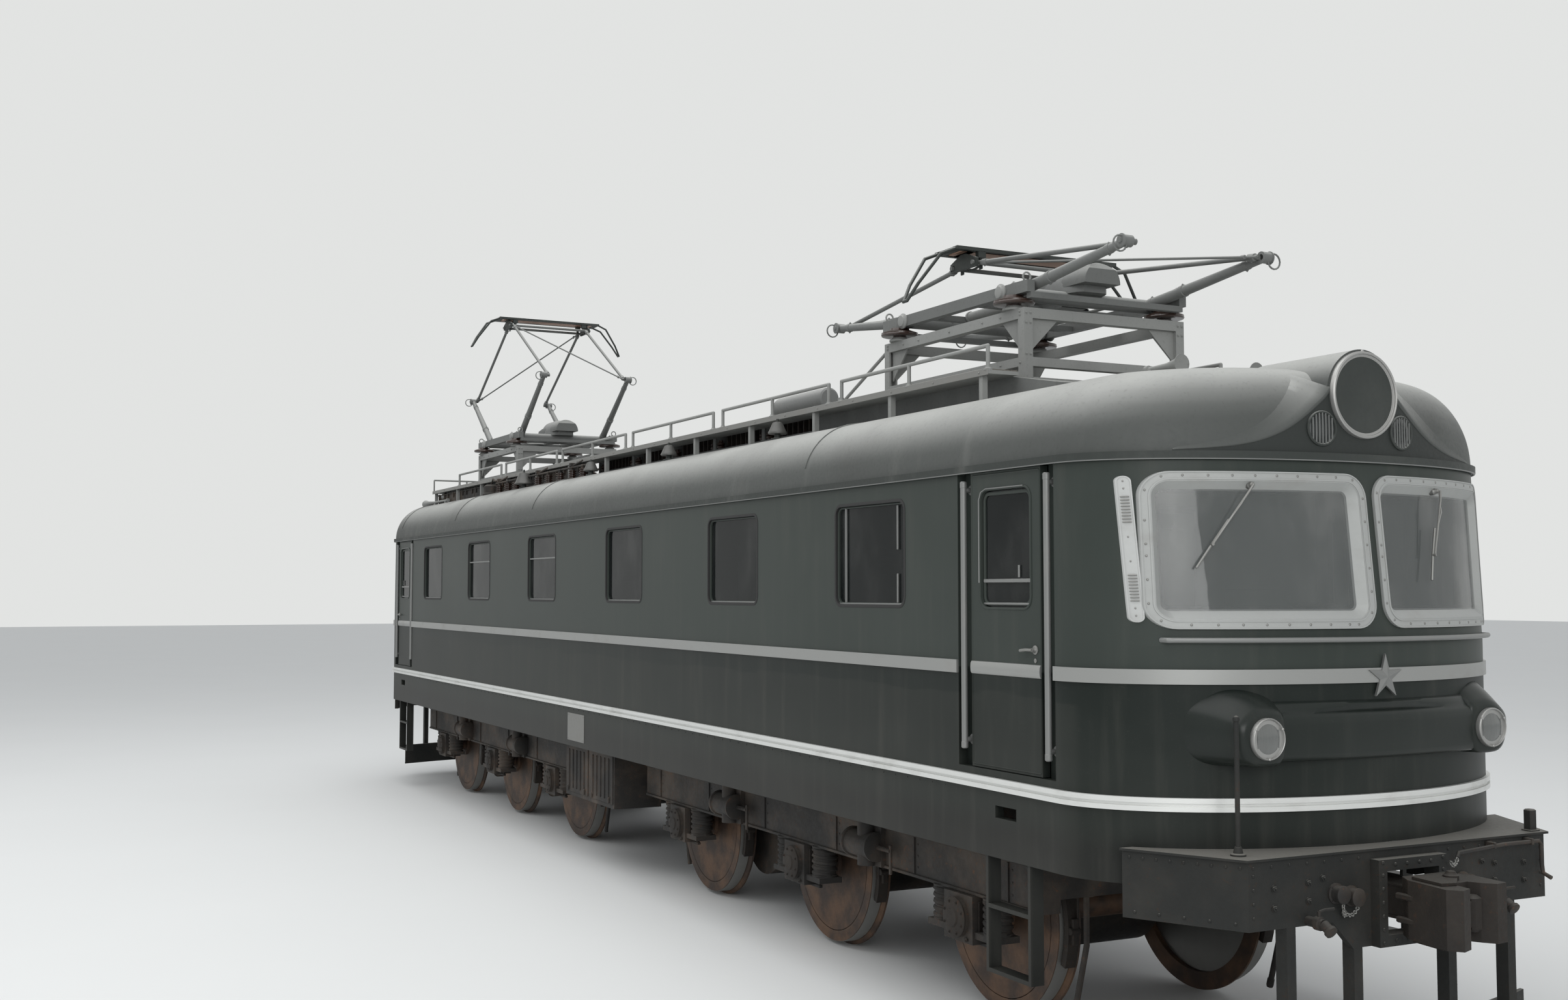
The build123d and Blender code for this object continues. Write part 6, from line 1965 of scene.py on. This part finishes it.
@dataclass
class BufferBeam(Assembly):
    """The beam at one end with its rivets, sockets, chains and cocks, and the automatic coupler."""

    end: End
    front: float = 8910
    back: float = 8314
    half_width: float = 1085
    back_half: float = 1399
    bottom: float = 985
    ledge: float = 1345
    pocket_half: float = 190
    collar: float = 60
    guard_bend: float = 402.5
    pole_place: Spot = (8790, -1037)
    coupler_z: float = 1060
    coupler_tip: float = 9460
    finishes = ((Coat.BEAM, "buffer_beam"), (Coat.RUSTY, "coupler"))

    def placed(self, form: Form) -> Form:
        """The form at this end."""
        return form.copied([(self.end.value, 1)])

    @makes(("beam_rivets", Coat.BEAM), copies=Copies.SIDES, sharp=60)
    def rivets(self, form: Form) -> None:
        """Rivet rows along the ledge, the corner seams and the collar, and the bolts on the face."""
        front, collar = self.front, self.front + self.collar
        tail = vec(self.back - front, self.back_half - self.half_width, 0)
        out = unit(vec(tail.y, -tail.x, 0))
        rows = [(0.06 + i * 0.11, self.ledge - 46) for i in range(9)]
        for share, z in rows + [(0.1 + i * 0.2, self.bottom + 34) for i in range(5)]:
            form.stud(vec(front, self.half_width, z) + tail * share, out, 9, 6)
        for y in range(1050, 329, -120):
            form.stud((front, y, self.ledge - 46), AHEAD, 9, 6)
        for z in (1050, 1120, 1190, 1260):
            form.stud((front, self.half_width - 34, z), AHEAD, 9, 6)
        for y, z in ((915, 1188), (915, 1090), (683, 1109), (683, 1200), (584, 1217)):
            form.bolt((front, y, z), AHEAD, 15)
        for z in (860, 930, 1000, 1070, 1140, 1210, 1275):
            form.stud((collar, self.pocket_half + 30, z), AHEAD, 11, 7)
        for y, z in ((45, 868), (130, 868), (45, 1262), (130, 1262)):
            form.stud((collar, y, z), AHEAD, 11, 7)

    @makes(("beam_sockets", Coat.GRIME))
    def sockets(self, form: Form) -> None:
        """Three capped sockets and the air cocks left and right of the pocket."""
        front = self.front
        profile = [(-2, 54), (10, 54), (14, 44), (44, 42), (48, 47), (62, 47), (68, 38), (70, 8)]
        for y, z in ((-498, 1132), (-394, 1111), (430, 1120)):
            form.turned((front, y, z), AHEAD, profile, 24)
            form.bolt_ring((front + 9, y, z), AHEAD, 47, 4, 5)
        profile, z = [(0, 26), (60, 26), (64, 36), (96, 36), (100, 26), (112, 24)], 1010
        for y in (-690, 640):
            form.turned((front - 4, y, z), AHEAD, profile, 18)
            form.rod((front + 78, y, z), (front + 78, y, z + 62), 9)
            form.tube(
                [(front + 78, y, z + 58), (front + 84, y + 30, z + 66), (front + 84, y + 96, z + 66)], 8
            )
            form.turned(
                (front + 108, y, z), (1, 0, -0.6), [(0, 27), (40, 27), (46, 34), (62, 34), (66, 16)], 18
            )

    @makes(("beam_chains", Coat.DULL_METAL))
    def chains(self, form: Form) -> None:
        """Short chains that hold the sockets' caps and the coupler's release bar, and their rings."""
        x = self.front
        form.chain((x + 52, -498, 1084), (x + 14, -446, 1030), 34, 3.4, 12)
        form.chain((x + 52, -394, 1063), (x + 14, -446, 1030), 26, 3.4, 10)
        form.chain((x + 52, 430, 1072), (x + 14, 486, 1040), 22, 3.4, 10)
        form.chain((x + 86, 300, 1268), (x + 96, 232, 1255), 30, 4, 12)
        for y, z in ((-446, 1030), (486, 1040)):
            form.hoop((x + 10, y, z), 13, 4, 10, 6)
            form.stud((x, y, z), AHEAD, 12, 12)

    @makes(("release_bar", Coat.GRIME))
    def release_bar(self, form: Form) -> None:
        """The bent bar that lifts the coupler's lock, in its brackets, with a grip at the corner."""
        z, front = 1306, self.front
        x = front + 50
        path = [(x, 1000, 1180), (x, 1000, z - 20), (x, 980, z), (x, 700, z)]
        form.tube(path + [(x + 26, 320, z - 16), (x + 36, 300, 1268)], 11, 10)
        form.tube([(x, 1000, 1190), (x + 8, 1000, 1130), (x + 60, 1000, 1110)], 12, 10)
        for y in (920, 620):
            form.box((front - 2, x + 16), (y - 9, y + 9), (z - 18, z + 18), 4)
            form.box((front - 2, front + 7), (y - 9, y + 42), (z - 18, z + 18))
            form.bolt((front, y + 26, z), AHEAD, 8)

    @makes(("beam_posts", Coat.BEAM))
    def posts(self, form: Form) -> None:
        """The short upright post at the far corner of the ledge, and the foot and knob of the near pole."""
        x, z, (pole_x, pole_y) = self.front, self.ledge, self.pole_place
        form.box((x - 78, x - 26), (1018, 1068), (z - 4, z + 120), 6)
        form.box((x - 84, x - 16), (1006, 1080), (z - 1, z + 8))
        form.turned((pole_x, pole_y, z), UP, [(0, 40), (9, 40), (14, 26), (40, 20), (46, 16)], 18)
        form.turned((pole_x, pole_y, 2034), UP, [(-8, 17), (6, 18), (16, 12), (20, 4)], 14)

    @makes(("rail_guard_edge", Coat.GRIME))
    def guard_trim(self, form: Form) -> None:
        """Bolts and a rolled lower edge on the rail guard."""
        tip, bend = self.front + 60, self.guard_bend
        form.tube([(8700, -1146, 156), (tip, -bend, 156), (tip, bend, 156), (8700, 1146, 156)], 13)
        for y in (-805, -345, 345, 805):
            x = tip - max(0, abs(y) - bend) * 270 / 747.5
            for z in (225, 345):
                form.bolt((x, y - 15, z), AHEAD, 11)
                form.bolt((x, y + 15, z + 30), AHEAD, 11)

    @makes(("coupler_lock", Coat.RUSTY), body="coupler")
    def coupler_trim(self, form: Form) -> None:
        """The coupler head's ribs, lock and wear plates."""
        tip, z = self.coupler_tip, self.coupler_z
        outline = [(tip - 340, -180), (tip - 130, -205), (tip - 110, -120), (tip - 210, 0), (tip - 330, 110)]
        for low in (z - 166, z + 152):
            form.prism(outline, "z", low, low + 14)
        form.box((tip - 172, tip - 96), (-20, 52), (z - 92, z + 92), 14)
        form.box((tip - 128, tip - 108), (-96, -10), (z - 70, z + 70), 8)
        for level in (z - 60, z + 60):
            form.block((tip - 310, -203, level), (220, 26, 32), 6)
            form.block((tip - 320, 207, level), (160, 22, 32), 6)
        form.turned((tip - 250, 0, z + 150), UP, [(-2, 40), (24, 40), (30, 30), (44, 22), (48, 6)])
        form.turned((8450, 0, z - 90), DOWN, [(0, 62), (14, 62), (18, 50)])

    @makes(("coupler_flanges", Coat.RUSTY), body="coupler")
    def shank_trim(self, form: Form) -> None:
        """The flanges and the collar of the coupler's shank."""
        for z in (self.coupler_z - 84, self.coupler_z + 84):
            form.block((8795, 0, z), (470, 176, 18), 5)
        form.turned((8990, 0, self.coupler_z), AHEAD, [(0, 100), (22, 100), (30, 94)], 28)


@dataclass
class Underside(Assembly):
    """Between the bogies: the battery boxes' doors and the air tanks' ends, bands and pipes."""

    battery_x: float = 350
    battery_y: float = 1380
    battery_z: Spot = (620, 1199)
    tank_half: float = 650
    tank_y: float = 450
    tank_z: float = 900
    tank_radius: float = 220
    finishes = ((Coat.GRIME, "underframe", "battery_boxes", "air_reservoirs"),)
    copies = Copies.SIDES

    @makes(("battery_doors", Coat.GRIME))
    def battery_doors(self, form: Form) -> None:
        """Doors, ribs, hinges and toggle catches on the battery boxes."""
        y, (low, high) = self.battery_y, self.battery_z
        for x in (-self.battery_x, self.battery_x):
            form.box((x - 320, x + 320), (y - 2, y + 10), (low + 40, high - 60), 4)
            for u in (-220, -110, 0, 110, 220):
                form.box((x + u - 9, x + u + 9), (y + 6, y + 20), (low + 80, high - 110), 5)
            for u in (-240, 240):
                form.rod((x + u - 50, y + 12, high - 62), (x + u + 50, y + 12, high - 62), 12)
                form.box((x + u - 14, x + u + 14), (y + 6, y + 26), (low + 48, low + 104), 5)

    @makes(("tank_fittings", Coat.GRIME))
    def tank_trim(self, form: Form) -> None:
        """Domed ends, welded bands, drain cocks and the pipes between the tanks."""
        y, z, r = self.tank_y, self.tank_z, self.tank_radius
        profile = [(0, r - 1), (20, r - 8), (44, r - 40), (60, r - 90), (70, 60), (72, 4)]
        for end in (-1, 1):
            form.turned((end * (self.tank_half - 2), y, z), (end, 0, 0), profile, 36)
        for x in (-500, -150, 150, 500):
            form.turned((x - 22, y, z), AHEAD, [(0, r + 1), (3, r + 6), (41, r + 6), (44, r + 1)], 36)
        form.turned((0, y, z - r + 4), DOWN, [(0, 18), (30, 18), (34, 26), (50, 26), (54, 10)], 14)
        form.tube([(-300, y - 200, 860), (-300, 150, 800), (-300, 0, 800)], 16, 10)


@dataclass
class Cabs(Assembly):
    """Both cabs and the machine room: desks, instruments, seats, bulkhead doors and cabinets."""

    desk_top: float = 2440
    seat_x: float = 7800
    seat_y: float = 680
    seat_half: float = 200
    seat_z: float = 2060
    pad: float = 90
    back_top: float = 2620
    floor: float = 1640
    bulkhead_x: float = 6906
    room_half: int = 6200
    finishes = (
        (Coat.CAB, "cab_bulkheads"),
        (Coat.DESK, "cab_desks"),
        (Coat.MACHINE, "machine_block"),
        (Coat.LEATHER, "cab_seats"),
    )
    copies = Copies.ENDS

    @makes(("desk_panels", Coat.DESK), ("dials", Coat.DIAL), ("controls", Coat.KNOB), copies=Copies.ROUND)
    def instruments(self, cases: Form, dials: Form, knobs: Form) -> None:
        """The desks' raised panels with gauges and switches, the controller's wheel and the levers."""
        x, z, lean = 8330, self.desk_top + 18, unit(vec(-1, 0, 0.55))
        outline = [(x, z - 30), (x + 170, z - 30), (x + 170, z + 92), (x + 90, z + 92), (x, z + 20)]
        for start in (-1020, 380):
            cases.prism(outline, "y", start, start + 640)
            for i in range(5):
                at = vec(x + 46, start + 80 + i * 120, z + 58)
                cases.turned(at, lean, [(-14, 44), (6, 44), (10, 38)], 22)
                dials.turned(at, lean, [(4, 36), (7, 35), (8, 2)])
                knobs.rod(at + lean * 9, at + lean * 9 + vec(0, 22, 14), 1.6, sides=6)
            profile = [(-8, 9), (6, 9), (8, 5), (22, 4), (24, 7), (32, 7), (34, 2)]
            for i in range(10):
                knobs.turned((x - 46, start + 50 + i * 60, z - 22), UP, profile, 10)
        hub = vec(8225, -640, self.desk_top + 20)
        cases.turned(hub - vec(0, 0, 40), UP, [(0, 46), (44, 46), (50, 34), (66, 22)], 22)
        knobs.hoop(hub + vec(0, 0, 38), 118, 11, 28, flat=True)
        for turn in (0, 2 * pi / 3, 4 * pi / 3):
            knobs.rod(hub + vec(0, 0, 36), hub + vec(114 * cos(turn), 114 * sin(turn), 38), 7)
        for y in (-980, -350, 560):
            base = vec(8200, y, self.desk_top - 6)
            cases.turned(base, UP, [(0, 36), (20, 36), (26, 26)], 18)
            knobs.tube([base + vec(0, 0, 20), base + vec(-20, 0, 90), base + vec(-90, 0, 108)], 8)
            knobs.turned(base + vec(-92, 0, 108), (-1, 0, 0.1), [(0, 13), (20, 17), (50, 15), (58, 5)], 12)

    @makes(("seat_frames", Coat.DULL_METAL), copies=Copies.FOUR, instead="cab_seats")
    def seat_frames(self, form: Form) -> None:
        """The turned post of each seat with its foot, its tubular frame and the board behind its back."""
        x, y, z, h, top = self.seat_x, self.seat_y, self.seat_z, self.seat_half, self.back_top
        profile = [
            (0, 150), (12, 150), (20, 60), (60, 44), (300, 44), (306, 34), (400, 34), (404, 70), (414, 70)
        ]
        form.turned((x, y, self.floor + 0.3), UP, profile, 24)
        form.box((x - h + 8, x + h - 8), (y - h + 8, y + h - 8), (z - 10, z + 12), 8)
        for edge in (y - h + 26, y + h - 26):
            path = [(x + h - 30, edge, z - 2), (x - h + 30, edge, z - 2)]
            form.tube(path + [(x - h + 12, edge, z + 22), (x - h + 12, edge, top - 30)], 11)
        form.box((x - h + 2, x - h + 14), (y - h + 10, y + h - 10), (z + 160, top - 6), 5)

    def cushion(self, low: Point, high: Point, crown: Point) -> None:
        """A crowned cushion between two corners, with a seam round its edge.

        Args:
            low: its lowest corner.
            high: its highest corner.
            crown: the direction in which its face swells.
        """
        middle = (Vector(low) + Vector(high)) / 2
        half = (Vector(high) - Vector(low)) / 2
        thin = max(range(3), key=lambda i: abs(crown[i]))
        across, up = [i for i in range(3) if i != thin]
        rows = ((-1, 0.9), (-0.86, 0.97), (-0.3, 1), (0.18, 0.985), (0.25, 1), (0.32, 0.985), (0.62, 0.94))
        loops = []
        for level, share in rows + ((0.82, 0.8), (0.94, 0.55), (1, 0.2)):
            loop = []
            for u, v in rounded(half[across], half[up], min(half[across], half[up]) * 0.28, 6):
                point = middle.copy()
                pull = share * (1 - 0.03 * (1 - abs(level)) * abs(sin(pi * u / half[across])))
                point[across] += u * pull
                point[up] += v * pull
                point[thin] += level * half[thin] * copysign(1, crown[thin])
                loop.append(point)
            loops.append(loop)
        name = "_".join(["cushion"] + [str(int(value)) for value in middle]).replace("-", "m")
        Form().loft(loops).piece(name, Coat.LEATHER, sharp=80)

    @makes()
    def cushions(self) -> None:
        """A seat and a back cushion on each of the four seats."""
        h, z = self.seat_half, self.seat_z
        for end, side in Copies.FOUR.value:
            x, y = end * self.seat_x, side * self.seat_y
            self.cushion((x - h, y - h, z + 10), (x + h, y + h, z + self.pad), UP)
            x0, x1 = sorted((x - end * (h - 12), x - end * (h - 62)))
            self.cushion((x0, y - h, z + 150), (x1, y + h, self.back_top), (end, 0, 0))

    @makes(("bulkhead_doors", Coat.CAB))
    def bulkheads(self, form: Form) -> None:
        """The cab doors in the bulkheads with their frames and handles, and the fuse boxes beside them."""
        x = self.bulkhead_x + 20
        form.box((x, x + 12), (-300, 300), (1700, 3200), 6)
        form.box((x + 6, x + 22), (-230, 230), (2500, 3100), 8)
        for y in (-335, 335):
            form.box((x - 1, x + 24), (y - 20, y + 20), (1660, 3240), 6)
        form.box((x - 1, x + 24), (-355, 355), (3215, 3250), 6)
        form.rod((x + 10, 250, 2350), (x + 56, 250, 2350), 9)
        form.rod((x + 52, 250, 2350), (x + 52, 150, 2350), 9)
        for y, z in ((-720, 2600), (-720, 2050), (760, 2500)):
            form.box((x - 1, x + 90), (y - 190, y + 190), (z - 200, z + 200), 10)

    @makes(("cab_lining", Coat.CAB))
    def pillars(self, form: Form) -> None:
        """The inner lining round the windscreens and the ceiling's edge, seen through the glass."""
        for y0, y1 in ((-60, 60), (1262, 1300), (-1300, -1262)):
            x = NOSE.start + 745 * sqrt(1 - (max(abs(y0), abs(y1)) / 1440) ** 2)
            form.box((x - 46, x - 8), (y0, y1), (2480, 3360), 10)
        for x in (8050, 8250):
            form.box((x - 12, x + 12), (-1150, 1150), (3352, 3394), 6)

    @makes(("machine_cabinets", Coat.MACHINE), copies=Copies.SIDES)
    def cabinets(self, form: Form) -> None:
        """Doors, louvres and pipes of the cabinets in the machine room."""
        reach = self.room_half
        for x in range(-reach, reach, 780):
            form.box((x + 12, x + 760), (846, 862), (1720, 3180), 5)
            for z in range(2800, 3065, 44):
                form.box((x + 130, x + 640), (858, 872), (z, z + 16), 4)
            form.rod((x + 700, 870, 2300), (x + 700, 870, 2420), 9)
        form.tube([(-reach, 905, 2450), (0, 905, 2450), (reach, 905, 2450)], 18)
        for x in range(-6050, 6041, 930):
            form.block((x, 890, 2450), (20, 68, 24))


@dataclass
class Studio:
    """Camera, floor, pale surroundings and soft lamps."""

    camera_place: tuple[float, float, float] = (15.107, -6.7775, 2.718)
    yaw: float = 26.55
    pitch: float = 3.27
    focal: float = 36.667
    pale: tuple[float, float, float] = (0.76, 0.77, 0.76)
    sky: float = 0.62

    def camera(self) -> None:
        """The photograph's point of view."""
        data = bpy.data.cameras.new("camera")
        data.lens, data.sensor_width, data.sensor_fit = self.focal, 36, "HORIZONTAL"
        data.clip_end = 500
        made = bpy.data.objects.new("camera", data)
        yaw, pitch = radians(self.yaw), radians(self.pitch)
        look = vec(-cos(yaw) * cos(pitch), sin(yaw) * cos(pitch), sin(pitch))
        made.location = self.camera_place
        made.rotation_euler = look.to_track_quat("-Z", "Y").to_euler()
        bpy.context.scene.collection.objects.link(made)
        bpy.context.scene.camera = made

    def floor(self) -> None:
        """A wide pale floor under the wheels."""
        mesh = bpy.data.meshes.new("floor")
        reach = 120
        corners = [(-reach, -reach, 0), (reach, -reach, 0), (reach, reach, 0), (-reach, reach, 0)]
        mesh.from_pydata(corners, [], [(0, 1, 2, 3)])
        g = Graph.of("floor_paint")
        cloud = g.noise(0.4, detail=3)
        colour = g.blend(cloud, [c * 0.97 for c in self.pale], self.pale)
        mesh.materials.append(g.surface(Base_Color=colour, Roughness=0.85))
        made = bpy.data.objects.new("floor", mesh)
        bpy.context.scene.collection.objects.link(made)

    def surroundings(self) -> None:
        """A pale world where it is seen, and a plain soft light from all sides."""
        bpy.context.scene.world = bpy.data.worlds.new("studio")
        g = Graph(bpy.context.scene.world)
        path = g.node("ShaderNodeLightPath")
        rays = [Signal(g, path.outputs[f"Is {kind} Ray"]) for kind in ("Camera", "Transmission", "Glossy")]
        seen = rays[0].larger(rays[1]).larger(rays[2])
        lights = ((0.95, 0.97, 1, 1), self.sky), ((*self.pale, 1), 1)
        light, shown = (g.node("ShaderNodeBackground", None, {"Color": c, "Strength": s}) for c, s in lights)
        mix = g.node("ShaderNodeMixShader", None, {0: seen, 1: light.outputs[0], 2: shown.outputs[0]})
        g.node("ShaderNodeOutputWorld", None, {"Surface": mix.outputs[0]})

    def lamp(self, name: str, place: Point, target: Point, size: float, power: float) -> None:
        """One square lamp that points at a target."""
        data = bpy.data.lights.new(name, "AREA")
        data.shape, data.size, data.energy = "SQUARE", size, power
        made = bpy.data.objects.new(name, data)
        made.location = place
        made.rotation_euler = (Vector(target) - Vector(place)).to_track_quat("-Z", "Y").to_euler()
        bpy.context.scene.collection.objects.link(made)

    def build(self) -> None:
        """Set up everything round the locomotive."""
        self.camera()
        self.floor()
        self.surroundings()
        self.lamp("overhead", (2, -6, 19), (0, 0, 2), 22, 2600)
        self.lamp("front_fill", (25, -9, 9), (7, 0, 2.5), 10, 1300)
        bpy.context.scene.view_settings.view_transform = "Standard"


def main() -> None:
    """Build every sub-assembly, then the studio."""
    logging.basicConfig(level=logging.INFO, format="%(message)s")
    assemblies = [SidePanels(), Windscreens(), FrontTrim(), SideWindows(), FrontLamps(), RoofGear()]
    assemblies += [CabDoor(end, side) for end in End for side in Side]
    assemblies += [Pantograph(End.FRONT, 6.2, 5530), Pantograph(End.REAR, 35.5, -5700)]
    assemblies += [part(end) for end in End for part in (Bogie, BufferBeam)]
    assemblies += [Wheelset(i + 1, x) for i, x in enumerate((6400, 4100, 1800, -1800, -4100, -6400))]
    assemblies += [Underside(), Cabs(), Studio()]
    for assembly in assemblies:
        assembly.build()
        log.info("%s done", type(assembly).__name__)


if __name__ == "__main__":
    main()
